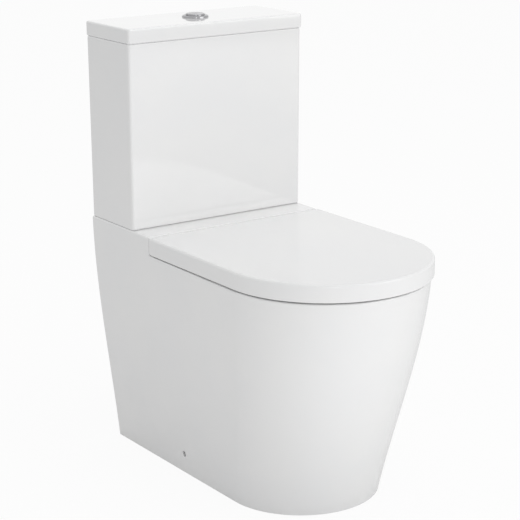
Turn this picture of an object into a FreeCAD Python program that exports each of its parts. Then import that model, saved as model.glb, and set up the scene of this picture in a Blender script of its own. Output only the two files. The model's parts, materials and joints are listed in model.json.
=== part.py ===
"""Close-coupled, back-to-wall toilet: pan, cistern, seat and the fittings that work them.

Millimetres. The origin is on the floor, in the middle of the length and width. The back
against the wall is +Y, the front of the seat is -Y, and +Z is up.
"""
import FreeCAD, Part
import os
import re
import Sketcher

V = FreeCAD.Vector

SIZES = {
    "depth": 645,                 # from the wall to the front of the seat
    "ledge_high": 435,            # top of the pan's ledge, which carries the cistern
    "ledge_deep": 54,             # ledge that shows ahead of the cistern
    "ceramic_round": 3,           # rounding of the ceramic edges
    "corner_round": 5,            # rounding of the upright corners
    "overrun": 5,                 # how far a cut runs past the face that it opens
    "slip": 0.3,                  # clearance between pieces that move past each other
    "running": 0.05,              # radial clearance of a pin in its bore

    "pan_wide": 363,              # width of the pan under the seat
    "seat_over": 3,               # front of the seat ahead of the pan's rim
    "foot_in": 43.5,              # side of the pan's foot inside its widest part
    "foot_back": 114,             # front of the foot behind the front of the seat
    "pan_wall": 12,               # thickness of the skirt
    "rim_drop": 33,               # top of the rim, under the seat, below the ledge
    "rim_slab": 14,               # thickness of the rim and of the ledge
    "rim_front": 48,              # width of the rim at the front of the bowl
    "rim_side": 47.5,             # width of the rim beside the bowl's mouth
    "rim_back": 69,               # width of the rim between the bowl's mouth and the ledge
    "bowl_wall": 11,              # thickness of the bowl
    "sump_wide": 86,              # width of the bowl's floor
    "sump_long": 104,             # length of the bowl's floor
    "sump_high": 122,             # height of the bowl's floor
    "sump_from_wall": 350.5,      # centre of the bowl's floor from the wall
    "trap_bore": 36,              # inner radius of the trapway
    "trap_wall": 10,              # thickness of the trapway
    "trap_from_wall": 352.5,      # start of the trapway from the wall, in the sump
    "trap_start_high": 158,       # height of that start
    "dip_from_wall": 252.5,       # corner of the trapway's lowest bend from the wall
    "dip_high": 128,              # its height
    "dip_bend": 50,               # its radius
    "crest_from_wall": 182.5,     # corner of the trapway's crest from the wall
    "crest_high": 300,            # its height
    "crest_bend": 48,             # its radius
    "fall_from_wall": 107.5,      # corner where the trapway turns level, from the wall
    "fall_bend": 60,              # its radius
    "outlet_high": 180,           # height of the outlet's centre
    "outlet_round": 51,           # outer radius of the outlet spigot
    "outlet_long": 50,            # length of the spigot
    "outlet_set_back": 25,        # spigot's end ahead of the wall
    "inlet_bore": 34,             # radius of the flush inlet under the cistern
    "inlet_recess": 51,           # radius of the recess for the coupling washer
    "inlet_boss": 10,             # ceramic round and under that recess
    "channel_bore": 19,           # inner radius of the flush channel
    "channel_wall": 8,            # thickness of the flush channel
    "channel_drop": 43,           # channel's centre below the rim
    "notch_wide": 54,             # width of the cut-out for the water inlet
    "notch_deep": 96,             # how far it reaches in from the wall
    "side_hole": 5.5,             # radius of the hole for the side screw
    "side_hole_high": 38,         # height of that hole
    "side_hole_deep": 236,        # its distance from the wall

    "cistern_inset": 1,           # side of the cistern inside the pan's
    "cistern_deep": 141,          # depth of the cistern
    "cistern_high": 329,          # height of the cistern without its lid
    "cistern_wall": 9,            # thickness of its walls
    "cistern_floor": 12,          # thickness of its floor
    "cover_over": 2.5,            # side of the cistern's lid past the cistern's
    "cover_ahead": 6.5,           # front of the cistern's lid past the cistern's
    "cover_high": 26,             # height of the cistern's lid
    "cover_plate": 12,            # thickness of the lid's plate
    "cover_rim": 16,              # width of the rim on which the lid rests
    "lip_gap": 3,                 # clearance of the lid's lip in the cistern's mouth
    "lip_thick": 5,               # thickness of that lip
    "lip_deep": 8,                # how far the lip reaches into the cistern

    "bezel_round": 24,            # outer radius of the button's collar
    "bezel_high": 3.5,            # height of the collar above the lid
    "bezel_sleeve": 19,           # outer radius of its sleeve through the lid
    "bezel_bore": 17.5,           # inner radius of the sleeve
    "bezel_long": 24,             # length of the sleeve below the lid's top
    "bezel_floor": 2,             # thickness of the sleeve's floor
    "bezel_bevel": 1.5,           # bevel on the collar's edge
    "bezel_nut_round": 28,        # outer radius of the nut under the lid
    "bezel_nut_high": 8,          # its height
    "button_proud": 3,            # height of the buttons above the collar
    "button_high": 12,            # height of a button
    "button_split": 1,            # gap between the two buttons
    "button_bevel": 1.2,          # bevel on the buttons' edges
    "rod_round": 2.5,             # radius of a push rod
    "rod_off": 12,                # push rods ahead of and behind the centre
    "spring_round": 4.5,          # outer radius of a button spring
    "spring_wall": 1,             # its wire

    "tail_round": 31,             # outer radius of the flush valve's threaded tail
    "valve_bore": 26,             # inner radius of the flush valve
    "tail_long": 32,              # how far the tail reaches below the cistern
    "backnut_round": 45,          # outer radius of the nut on the tail
    "backnut_high": 12,           # its height
    "washer_round": 48,           # outer radius of the coupling washer
    "washer_high": 12,            # its height
    "gasket_high": 3,             # thickness of the rubber gaskets in the cistern
    "valve_flange": 44,           # radius of the valve's flange
    "flange_high": 5,             # thickness of that flange
    "valve_seat": 36,             # outer radius of the valve's seat
    "seat_high": 20,              # height of the seat above the gasket
    "cage_round": 41,             # outer radius of the valve's cage
    "cage_ring": 9,               # height of the cage's lower ring
    "cage_post": 8,               # width of a cage post
    "cage_high": 180,             # from the flange's foot to the top of the cage
    "bridge_thick": 5,            # thickness of the cage's top
    "lug_thick": 3,               # thickness of a rocker's lug
    "lug_wide": 10,               # width of that lug
    "rocker_up": 23,              # height of the rocker's pin above the cage
    "rocker_off": 14,             # rockers ahead of and behind the centre
    "rocker_wide": 5,             # width of a rocker
    "rocker_thick": 6,            # thickness of a rocker
    "press_arm": 12,              # from the rocker's pin to the push rod
    "lift_arm": 22,               # from the rocker's pin to its lifting end
    "rocker_pin": 2,              # radius of a rocker's pin
    "lift_round": 11,             # outer radius of the lift tube
    "lift_wall": 2,               # its thickness
    "lift_flange": 33,            # radius of the plate at its foot
    "lift_plate": 4,              # thickness of that plate
    "seal_round": 32,             # outer radius of the valve's seal
    "seal_high": 4,               # thickness of the seal
    "yoke_wide": 6,               # thickness of the yoke on the lift tube
    "yoke_over": 4,               # yoke beyond the rocker's end
    "yoke_tab": 10,               # width of the tab over a rocker's end
    "yoke_thick": 4,              # thickness of that tab
    "yoke_lift": 12,              # free way above the half-flush rocker

    "fill_in": 50.5,              # fill valve from the side of the cistern
    "shank_round": 10.4775,       # radius of the water inlet's G1/2 thread
    "shank_nut_round": 11,        # radius of the thread that the nut grips
    "shank_neck": 9,              # radius of the shank between the two threads
    "shank_relief": 5,            # length of that neck
    "shank_long": 42,             # how far it reaches below the cistern
    "shank_bore": 5,              # radius of the waterway
    "shank_flange": 18,           # radius of the fill valve's flange
    "fill_nut_round": 17,         # outer radius of the nut under the cistern
    "fill_nut_high": 9,           # its height
    "column_round": 9.5,          # outer radius of the fill valve's column
    "column_high": 190,           # height of the column above the floor
    "cap_round": 20,              # radius of the fill valve's head
    "cap_high": 28,               # height of the head
    "cap_bevel": 5,               # bevel round its top
    "cup_round": 29,              # outer radius of the float cup
    "cup_high": 60,               # height of the float cup
    "cup_wall": 3,                # thickness of its walls
    "cup_gap": 1,                 # clearance of the cup on the column
    "float_travel": 12,           # how far the float rises
    "link_round": 1.5,            # radius of the float's link
    "lever_arm": 36,              # from the lever's pin to the link
    "lever_back": 8,              # lever's pin behind the column
    "lever_up": 6,                # lever's pin above the head
    "lever_thick": 5,             # thickness of the lever
    "lever_wide": 6,              # width of the lever
    "lever_pin": 1.5,             # radius of the lever's pin

    "bolt_in": 40,                # cistern bolts from the fill valve, towards the middle
    "bolt_round": 4,              # radius of a cistern bolt
    "bolt_hole": 5,               # radius of its hole
    "bolt_head": 10,              # radius of its head
    "bolt_head_high": 5,          # height of its head
    "bolt_below": 26,             # length of the bolt below the ledge
    "bolt_washer": 13,            # radius of its rubber washers
    "bolt_nut_round": 9,          # radius of the wing nut's hub
    "bolt_nut_high": 10,          # height of the wing nut
    "wing_long": 17,              # reach of a wing
    "wing_thick": 3,              # thickness of a wing
    "wing_drop": 5,               # wings below the nut's hub

    "seat_side": 2.5,             # side of the seat's lid past the pan's
    "lid_tall": 31,               # height of its sides
    "lid_wall": 4.5,              # thickness of the lid
    "lid_round": 3.5,             # rounding of its top edge
    "lid_heel": 9.5,              # bevel under its rear edge, which turns down as it opens
    "lid_back_tall": 15,          # height of its rear wall, which clears the ring as the lid opens
    "lid_thin": 2.5,              # thickness of the lid over a hinge post
    "post_gap": 1,                # clearance of the lid's rear wall beside a hinge post
    "lid_seam": 2.5,              # gap between the lid and the ledge
    "ring_inset": 7,              # seat ring inside the lid's outline
    "ring_thick": 20,             # thickness of the ring
    "ring_round": 6,              # rounding of its outer top edge
    "ring_corner": 14,            # rounding of its upright rear corners
    "ring_inner_round": 8,        # rounding of its inner top edge
    "ring_lug_down": 2,           # top of the ring's lugs below its own top
    "ring_rear": 8,               # rear of the ring ahead of the hinge
    "ring_side": 67,              # width of the ring beside its opening
    "ring_back": 67.5,            # width of the ring behind its opening
    "hole_front": 65,             # width of the ring at the front
    "buffer_high": 4,             # height of a rubber buffer
    "buffer_round": 6,            # radius of a buffer
    "buffer_in": 39,              # side buffers from the side of the seat
    "buffer_side_back": 262.5,    # side buffers from the front of the seat
    "buffer_front": 50,           # front buffers from the middle
    "buffer_front_back": 50.5,    # front buffers from the front of the seat

    "hinge_off": 77.5,            # hinges from the middle
    "hinge_fore": 14,             # hinge line ahead of the lid's rear edge
    "hinge_down": 10,             # hinge line below the lid's top
    "pin_round": 3,               # radius of a hinge pin
    "barrel_round": 5,            # radius of the barrels on it
    "post_wide": 15,              # width of a hinge post's barrel
    "post_round": 5,              # radius of the post
    "lug_long": 8,                # width of the lid's and ring's lugs
    "rosette_round": 15,          # radius of the hinge's foot plate
    "rosette_high": 3,            # thickness of that plate
    "stud_round": 4,              # radius of the hinge stud
    "stud_hole": 7,               # radius of its hole in the rim
    "stud_below": 20,             # length of the stud below the rim
    "bush_flange": 12,            # radius of the rubber bush's flange
    "bush_high": 3,               # thickness of that flange
    "hinge_nut_round": 10,        # radius of the hinge's nut
    "hinge_nut_high": 10,         # its height
    "damper_long": 38,            # length of a damper

    "bracket_hole_in": 14,        # bracket's floor hole from its outer face
    "bracket_wide": 40,           # length of a floor bracket along the pan
    "bracket_foot": 34,           # width of its foot
    "bracket_thick": 8,           # thickness of its upright
    "bracket_plate": 4,           # thickness of its foot
    "bracket_high": 62,           # height of its upright
    "bracket_gap": 4,             # bracket inside the skirt's foot
    "bracket_hole": 4,            # radius of its floor hole
    "screw_round": 2.5,           # radius of a side screw
    "screw_head": 4.2,            # radius of its head
    "screw_head_high": 4,         # height of its head
    "screw_cap": 4.6,             # radius of the cap in the side hole
    "screw_cap_high": 2,          # thickness of that cap
    "screw_sunk": 0.5,            # cap below the skirt's surface
}

# What follows from the sizes above and goes by a name of its own.
FOLLOWS = {
    "pan_long": "(depth - seat_over)",
    "foot_wide": "(pan_wide - 2*foot_in)",
    "foot_long": "(depth - foot_back)",
    "rim_high": "(ledge_high - rim_drop)",
    "bowl_wide": "(pan_wide - 2*rim_side)",
    "bowl_long": "(pan_long - rim_front - cistern_deep - ledge_deep - rim_back)",
    "sump_ahead": "(sump_from_wall - depth/2)",
    "trap_start_ahead": "(trap_from_wall - depth/2)",
    "dip_back": "(depth/2 - dip_from_wall)",
    "crest_back": "(depth/2 - crest_from_wall)",
    "fall_back": "(depth/2 - fall_from_wall)",
    "channel_high": "(rim_high - channel_drop)",
    "cistern_wide": "(pan_wide - 2*cistern_inset)",
    "cover_wide": "(cistern_wide + 2*cover_over)",
    "cover_deep": "(cistern_deep + cover_ahead)",
    "fill_off": "(cistern_wide/2 - fill_in)",
    "bolt_off": "(fill_off - bolt_in)",
    "lid_wide": "(pan_wide + 2*seat_side)",
    "hole_round": "(lid_wide/2 - ring_inset - ring_side)",
    "hole_straight": "max(ring_inset; depth - cistern_deep - ledge_deep - lid_seam - hinge_fore"
                     " - ring_rear - ring_inset - hole_front - ring_back - 2*hole_round)",
    "buffer_side": "(lid_wide/2 - buffer_in)",
    "buffer_side_ahead": "(depth/2 - buffer_side_back)",
    "buffer_front_ahead": "(depth/2 - buffer_front_back)",
    "bracket_off": "(foot_wide/2 - pan_wall - bracket_gap - bracket_hole_in)",
}

# The pan's skirt swells from the foot to the rim through four level outlines.
SKIRT_HEIGHT_SHARES = (0, 0.46, 0.83, 1)
SKIRT_WIDTH_SHARES = (0, 0.56, 0.93, 1)
SKIRT_LENGTH_SHARES = (0, 0.56, 0.93, 1)

# The bowl narrows from its mouth to the sump through five level ovals.
BOWL_DEPTH_SHARES = (0, 0.2, 0.46, 0.74, 1)
BOWL_SIZE_SHARES = (0, 0.08, 0.42, 0.84, 1)
BOWL_SHIFT_SHARES = (0, 0.02, 0.3, 0.8, 1)

# Each bend of the trapway is this many mitred pieces.
MITRES = 5

# Places that several pieces share, written in the sizes above.
WALL_Y = "depth/2"
VALVE_Y = "(depth/2 - cover_deep/2)"
TANK_Y = "(depth/2 - cistern_deep/2)"
LEDGE_Y = "(depth/2 - cistern_deep - ledge_deep)"
LID_REAR_Y = f"({LEDGE_Y} - lid_seam)"
LID_NOSE_Y = "(lid_wide/2 - depth/2)"
LID_FOOT_Z = "(ledge_high - lid_tall)"
HINGE_Y = f"({LID_REAR_Y} - hinge_fore)"
HINGE_Z = "(ledge_high - hinge_down)"
RING_FOOT_Z = "(rim_high + buffer_high)"
RING_TOP_Z = "(rim_high + buffer_high + ring_thick)"
RING_HOLE_Y = f"({LID_NOSE_Y} - lid_wide/2 + ring_inset + hole_front + hole_round)"
FLOOR_Z = "(ledge_high + cistern_floor)"
MOUTH_Z = "(ledge_high + cistern_high)"
TOP_Z = "(ledge_high + cistern_high + cover_high)"
SLEEVE_FOOT_Z = f"({TOP_Z} - bezel_long)"
BUTTON_TOP_Z = f"({TOP_Z} + bezel_high + button_proud)"
BUTTON_FOOT_Z = f"({BUTTON_TOP_Z} - button_high)"
FLANGE_Z = f"({FLOOR_Z} + gasket_high)"
SEAT_Z = f"({FLANGE_Z} + seat_high)"
CAGE_Z = f"({FLANGE_Z} + cage_high)"
ROCKER_Z = f"({CAGE_Z} + rocker_up)"
COLUMN_Z = f"({FLANGE_Z} + column_high)"
LEVER_Z = f"({COLUMN_Z} + cap_high + lever_up)"
UNDER_LEDGE_Z = "(ledge_high - rim_slab)"
UNDER_RIM_Z = "(rim_high - rim_slab)"
BRACKET_Y = "(depth/2 - side_hole_deep)"

doc = FreeCAD.newDocument("toilet")
sheet = doc.addObject("Spreadsheet::Sheet", "sizes")
reckoner = doc.addObject("App::FeaturePython", "reckoner")
reckoner.addProperty("App::PropertyFloat", "value")
kept = []


def fill_sheet():
    """One row for each size: its name and its value."""
    for row, (alias, value) in enumerate(SIZES.items(), 1):
        sheet.set(f"A{row}", alias)
        sheet.set(f"B{row}", str(value))
        sheet.setAlias(f"B{row}", alias)
    doc.recompute()


def bound(text):
    """The expression with each size's name led to its cell."""
    def lead(match):
        name = match.group(0)
        return bound(FOLLOWS[name]) if name in FOLLOWS else f"sizes.{name}"
    return re.sub(r"\b[a-z][a-z0-9_]*\b(?!\()", lead, text)


def number(text):
    """What an expression comes to now."""
    reckoner.setExpression("value", bound(text))
    reckoner.recompute()
    return reckoner.value


def bind(thing, path, text):
    thing.setExpression(path, bound(text))


def place(thing, across="0", along="0", up="0"):
    """Bind where a thing's own origin stands."""
    for axis, text in zip("xyz", (across, along, up)):
        bind(thing, f"Placement.Base.{axis}", text)
    return thing


def keep(thing, label):
    """Name a finished sub-part, which is then written to a file of its own."""
    thing.Label = label
    kept.append(thing)
    return thing


def new_body(name):
    return doc.addObject("PartDesign::Body", name)


def new_sketch(body, role, offset="0"):
    """A sketch on one of the body's own origin planes, moved along its normal."""
    sketch = body.newObject("Sketcher::SketchObject", f"{body.Name}_sketch")
    plane = [item for item in body.Origin.OriginFeatures if item.Role == role][0]
    sketch.AttachmentSupport = [(plane, "")]
    sketch.MapMode = "FlatFace"
    bind(sketch, "AttachmentOffset.Base.z", offset)
    return sketch


def fix_point(sketch, item, end, across, up):
    """Tie one point of a sketch's item to two expressions."""
    for kind, text in (("DistanceX", across), ("DistanceY", up)):
        rule = Sketcher.Constraint(kind, -1, 1, item, end, number(text))
        index = sketch.addConstraint(rule)
        bind(sketch, f"Constraints[{index}]", text)


def outline(sketch, corners, arcs=None):
    """A closed line through corners, anticlockwise. arcs gives, for a side that bulges, by
    the number of its first corner, the height of its arc's centre on the middle line."""
    arcs = arcs or {}
    first = sketch.GeometryCount
    spots = [V(number(across), number(up), 0) for across, up in corners]
    count = len(spots)
    for side, start in enumerate(spots):
        end = spots[(side + 1) % count]
        if side in arcs:
            centre = V(0, number(arcs[side]), 0)
            circle = Part.Circle(centre, V(0, 0, 1), (start - centre).Length)
            turn = Part.ArcOfCircle(circle, circle.parameter(start), circle.parameter(end))
            sketch.addGeometry(turn)
        else:
            sketch.addGeometry(Part.LineSegment(start, end))
    for side in range(count):
        after = first + (side + 1) % count
        sketch.addConstraint(Sketcher.Constraint("Coincident", first + side, 2, after, 1))
    for side, (across, up) in enumerate(corners):
        fix_point(sketch, first + side, 1, across, up)
    for side, up in arcs.items():
        rule = Sketcher.Constraint("DistanceY", -1, 1, first + side, 3, number(up))
        index = sketch.addConstraint(rule)
        bind(sketch, f"Constraints[{index}]", up)
    return sketch


def rectangle(sketch, left, right, low, high):
    return outline(sketch, [(left, low), (right, low), (right, high), (left, high)])


def ring(sketch, across, up, radius):
    """A circle in a sketch."""
    spot = V(number(across), number(up), 0)
    item = sketch.addGeometry(Part.Circle(spot, V(0, 0, 1), number(radius)))
    fix_point(sketch, item, 3, across, up)
    index = sketch.addConstraint(Sketcher.Constraint("Radius", item, number(radius)))
    bind(sketch, f"Constraints[{index}]", radius)
    return sketch


def pad(body, sketch, length, middle=False, back=False):
    feature = body.newObject("PartDesign::Pad", f"{body.Name}_pad")
    feature.Profile = sketch
    feature.Reversed = back
    if middle:
        feature.SideType = "Symmetric"
    bind(feature, "Length", length)
    doc.recompute()
    return feature


def pocket(body, sketch, length, up=False, middle=False):
    """Cut a sketch down from its plane, upwards, or both ways from the middle."""
    feature = body.newObject("PartDesign::Pocket", f"{body.Name}_pocket")
    feature.Profile = sketch
    feature.Reversed = up
    if middle:
        feature.SideType = "Symmetric"
    bind(feature, "Length", length)
    doc.recompute()
    return feature


def bore(body, role, offset, across, up, radius, length, upwards=False):
    """A round hole from a plane parallel to one of the body's own."""
    sketch = ring(new_sketch(body, role, offset), across, up, radius)
    return pocket(body, sketch, length, upwards)


def fillet(body, base, radius, wanted):
    """Round the edges of a feature that the test picks out."""
    names = [f"Edge{count}" for count, edge in enumerate(base.Shape.Edges, 1) if wanted(edge)]
    feature = body.newObject("PartDesign::Fillet", f"{body.Name}_fillet")
    feature.Base = (base, names)
    bind(feature, "Radius", radius)
    doc.recompute()
    return feature


def upright(edge):
    box = edge.BoundBox
    return box.ZLength > box.XLength + box.YLength


def level(height):
    """A test for edges that lie at one height."""
    high = number(height)
    near = number("running")

    def at_height(edge):
        box = edge.BoundBox
        return abs(box.ZMin - high) < near and abs(box.ZMax - high) < near
    return at_height


def turned(name, profile, across="0", along="0", up="0"):
    """A piece turned about an upright axis, from corners given as radius and height."""
    body = new_body(name)
    sketch = outline(new_sketch(body, "XZ_Plane"), profile)
    feature = body.newObject("PartDesign::Revolution", f"{name}_turn")
    feature.Profile = sketch
    feature.ReferenceAxis = (sketch, ["V_Axis"])
    doc.recompute()
    return place(body, across, along, up)


def tube(inner, outer, low, high):
    """The profile of a plain ring or tube."""
    return [(inner, low), (outer, low), (outer, high), (inner, high)]


def mirrored(source):
    """The same piece on the other side of the middle."""
    copy = doc.addObject("Part::Mirroring", f"{source.Name}_mirrored")
    copy.Source = source
    copy.Normal = V(1, 0, 0)
    return copy


def group(name, *pieces):
    """Like pieces in one node, as separate solids."""
    compound = doc.addObject("Part::Compound", name)
    compound.Links = list(pieces)
    return compound


def both_sides(name, source):
    return group(name, source, mirrored(source))


def cylinder(name, radius, length, across="0", along="0", up="0", axis=None):
    """A round bar from a point, upright unless it is given another axis."""
    bar = doc.addObject("Part::Cylinder", name)
    bind(bar, "Radius", radius)
    bind(bar, "Height", length)
    if axis:
        bar.Placement.Rotation = FreeCAD.Rotation(V(0, 0, 1), axis)
    return place(bar, across, along, up)


def block(name, spans):
    """A box between the two expressions given for each axis."""
    box = doc.addObject("Part::Box", name)
    for side, (low, high) in zip(("Length", "Width", "Height"), spans):
        bind(box, side, f"({high}) - ({low})")
    return place(box, *[low for low, high in spans])


def fused(name, *pieces):
    joined = doc.addObject("Part::MultiFuse", name)
    joined.Shapes = list(pieces)
    return joined


def less(name, base, *tools):
    """The base with all the tools cut away."""
    rest = doc.addObject("Part::Cut", name)
    rest.Base = base
    rest.Tool = tools[0] if len(tools) == 1 else fused(f"{name}_tools", *tools)
    return rest


def shaped(name, shape):
    """A form that Part's own functions make."""
    feature = doc.addObject("Part::Feature", name)
    feature.Shape = shape
    return feature


def bent_tube(corners, bends, radius):
    """A round bar along straight runs, with each bend made of short mitred pieces."""
    spots = [corners[0]]
    for before, corner, after, bend in zip(corners, corners[1:], corners[2:], bends):
        arriving = (corner - before).normalize()
        leaving = (after - corner).normalize()
        reach = bend * ((1 - arriving.dot(leaving)) / (1 + arriving.dot(leaving))) ** 0.5
        start = corner - arriving * reach
        end = corner + leaving * reach
        inward = (leaving - arriving).normalize()
        centre = corner + inward * (reach * reach + bend * bend) ** 0.5
        arc = Part.Arc(start, centre - inward * bend, end)
        spots += arc.discretize(Number=MITRES + 1)
    spots.append(corners[-1])
    section = Part.Wire([Part.makeCircle(radius, spots[0], spots[1] - spots[0])])
    return Part.makePolygon(spots).makePipeShell([section], True, False, 1)


def skirt_form(inset, rear):
    """The pan's outside, or its hollow, from the floor to the ledge's top."""
    wires = []
    shares = zip(SKIRT_HEIGHT_SHARES, SKIRT_WIDTH_SHARES, SKIRT_LENGTH_SHARES)
    for height, width, length in shares:
        half = number(f"foot_wide/2 + (pan_wide - foot_wide)/2*{width}") - inset
        front = number(f"{WALL_Y} - foot_long - (pan_long - foot_long)*{length}") + inset
        high = number(f"ledge_high*{height}")
        left = V(-half, rear, high)
        right = V(half, rear, high)
        left_nose = V(-half, front + half, high)
        right_nose = V(half, front + half, high)
        wires.append(Part.Wire([
            Part.LineSegment(left, left_nose).toShape(),
            Part.Arc(left_nose, V(0, front, high), right_nose).toShape(),
            Part.LineSegment(right_nose, right).toShape(),
            Part.LineSegment(right, left).toShape(),
        ]))
    return Part.makeLoft(wires, True, False)


def level_oval(wide, long, y, z):
    """A level oval round the middle plane: half its width and half its length are given."""
    oval = Part.Ellipse(V(0, 0, 0), max(wide, long), min(wide, long)).toShape()
    if long >= wide:
        oval.rotate(V(0, 0, 0), V(0, 0, 1), 90)
    oval.translate(V(0, y, z))
    return Part.Wire([oval])


def bowl_form(wall):
    """The bowl's inside, or its outside where a wall is given."""
    wires = []
    mouth_y = number(f"{WALL_Y} - pan_long + rim_front + bowl_long/2")
    drop = number("rim_high - sump_high") + wall
    for depth, size, shift in zip(BOWL_DEPTH_SHARES, BOWL_SIZE_SHARES, BOWL_SHIFT_SHARES):
        long = number(f"bowl_long/2 + (sump_long - bowl_long)/2*{size}") + wall
        wide = number(f"bowl_wide/2 + (sump_wide - bowl_wide)/2*{size}") + wall
        middle = mouth_y + (number("-sump_ahead") - mouth_y) * shift
        wires.append(level_oval(wide, long, middle, number("rim_high") - drop * depth))
    return Part.makeLoft(wires, True, False)


def trap_form(wall, past):
    """The trapway's passage, or its outside where a wall is given."""
    corners = [
        V(0, number("-trap_start_ahead"), number("trap_start_high")),
        V(0, number("dip_back"), number("dip_high")),
        V(0, number("crest_back"), number("crest_high")),
        V(0, number("fall_back"), number("outlet_high")),
        V(0, number(f"{WALL_Y} - outlet_set_back") + past, number("outlet_high")),
    ]
    bends = [number("dip_bend"), number("crest_bend"), number("fall_bend")]
    return bent_tube(corners, bends, number("trap_bore") + wall)


def flush_channel(wall, top):
    """The way from the cistern down and forward to the back of the bowl."""
    radius = number("channel_bore") + wall
    drop = number("inlet_bore") + wall
    high = number("channel_high")
    inlet_y = number(VALVE_Y)
    into_bowl = number(f"{WALL_Y} - pan_long + rim_front + bowl_long")
    foot = high - radius - number("channel_wall/2")
    level_run = Part.makeCylinder(radius, inlet_y - into_bowl, V(0, into_bowl, high), V(0, 1, 0))
    shaft = Part.makeCylinder(drop, top - foot, V(0, inlet_y, foot))
    return level_run.fuse(shaft)


def pan():
    """Vitreous china pan: skirt, rim and ledge round the bowl, its trapway and channel."""
    over = number("overrun")
    wall = number("pan_wall")
    bowl_wall = number("bowl_wall")
    wall_y = number(WALL_Y)
    wide = number("pan_wide")
    ledge_y = number(LEDGE_Y)
    ledge_z = number("ledge_high")
    rim_z = number("rim_high")
    front = V(-wide, ledge_y - number("depth"), rim_z)
    outer = skirt_form(0, wall_y)
    above_rim = Part.makeBox(2 * wide, number("depth"), ledge_z, front)
    outer = outer.cut(above_rim)
    round_edges = [edge for edge in outer.Edges if rim_or_ledge_edge(edge)]
    outer = outer.makeFillet(number("ceramic_round"), round_edges)
    hollow = skirt_form(wall, wall_y + over)
    roof_z = number(UNDER_RIM_Z)
    long = 2 * number("depth")
    roof = Part.makeBox(2 * wide, long, ledge_z, V(-wide, wall_y - long, roof_z))
    inner_half = number("pan_wide/2 - pan_wall")
    ledge_front = ledge_y + wall
    under_ledge = Part.makeBox(2 * inner_half, wall_y + over - ledge_front,
                               number(UNDER_LEDGE_Z) - roof_z, V(-inner_half, ledge_front, roof_z))
    below = Part.makeBox(2 * wide, long, over, V(-wide, wall_y - long, -over))
    hollow = hollow.cut(roof).fuse(under_ledge).fuse(below)
    recess_z = number("ledge_high - backnut_high - washer_high")
    boss_round = number("inlet_recess + inlet_boss")
    boss_foot = recess_z - number("inlet_boss")
    inlet = V(0, number(VALVE_Y), boss_foot)
    boss = Part.makeCylinder(boss_round, ledge_z - number("ceramic_round") - boss_foot, inlet)
    spigot_y = number(f"{WALL_Y} - outlet_set_back - outlet_long")
    spigot = Part.makeCylinder(number("outlet_round"), number("outlet_long"),
                               V(0, spigot_y, number("outlet_high")), V(0, 1, 0))
    solid = outer.cut(hollow)
    additions = [bowl_form(bowl_wall).cut(roof), trap_form(number("trap_wall"), 0),
                 flush_channel(number("channel_wall"), boss_foot + over), boss, spigot]
    solid = solid.fuse(additions)
    recess = Part.makeCylinder(number("inlet_recess"), ledge_z, V(0, number(VALVE_Y), recess_z))
    inside = [bowl_form(0), mouth_cut(), trap_form(0, over), flush_channel(0, ledge_z), recess]
    solid = solid.cut(inside)
    for side in (-1, 1):
        solid = solid.cut(pan_openings(side))
    return keep(shaped("pan", solid.removeSplitter()), "pan")


def rim_or_ledge_edge(edge):
    """Edges round the rim's and the ledge's tops, apart from those at the wall."""
    box = edge.BoundBox
    near = number("running")
    wall_y = number(WALL_Y)
    at_rim = abs(box.ZMin - number("rim_high")) < near and abs(box.ZMax - number("rim_high")) < near
    at_ledge = abs(box.ZMin - number("ledge_high")) < near
    inside_corner = abs(box.YMin - number(LEDGE_Y)) < near and box.YLength < near and at_rim
    at_wall = box.YMax > wall_y - near and box.YLength < near
    return (at_rim and not inside_corner) or (at_ledge and not at_wall)


def mouth_cut():
    """Opens the bowl's mouth through the rim's top."""
    mouth_y = number(f"{WALL_Y} - pan_long + rim_front + bowl_long/2")
    mouth = level_oval(number("bowl_wide/2"), number("bowl_long/2"), mouth_y, number("rim_high"))
    return Part.Face(mouth).extrude(V(0, 0, number("overrun")))


def pan_openings(side):
    """Holes on one side: hinge stud, cistern bolt, side screw and the water inlet's notch."""
    over = number("overrun")
    ledge_z = number("ledge_high")
    through = number("rim_slab + 2*overrun")
    stud_foot = V(side * number("hinge_off"), number(HINGE_Y), number(UNDER_RIM_Z) - over)
    stud = Part.makeCylinder(number("stud_hole"), through, stud_foot)
    bolt_foot = V(side * number("bolt_off"), number(TANK_Y), number(UNDER_LEDGE_Z) - over)
    bolt = Part.makeCylinder(number("bolt_hole"), through, bolt_foot)
    screw_start = V(0, number(BRACKET_Y), number("side_hole_high"))
    screw = Part.makeCylinder(number("side_hole"), number("pan_wide/2"), screw_start, V(side, 0, 0))
    wide = number("notch_wide")
    deep = number("notch_deep")
    notch_y = number(WALL_Y) - deep
    corner = V(side * number("fill_off") - wide / 2, notch_y, number(UNDER_LEDGE_Z) - over)
    notch = Part.makeBox(wide, deep + over, ledge_z, corner)
    corners = [edge for edge in notch.Edges if upright(edge) and edge.BoundBox.YMax < number(TANK_Y)]
    notch = notch.makeFillet(number("notch_wide/4"), corners)
    return [stud, bolt, screw, notch]


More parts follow.
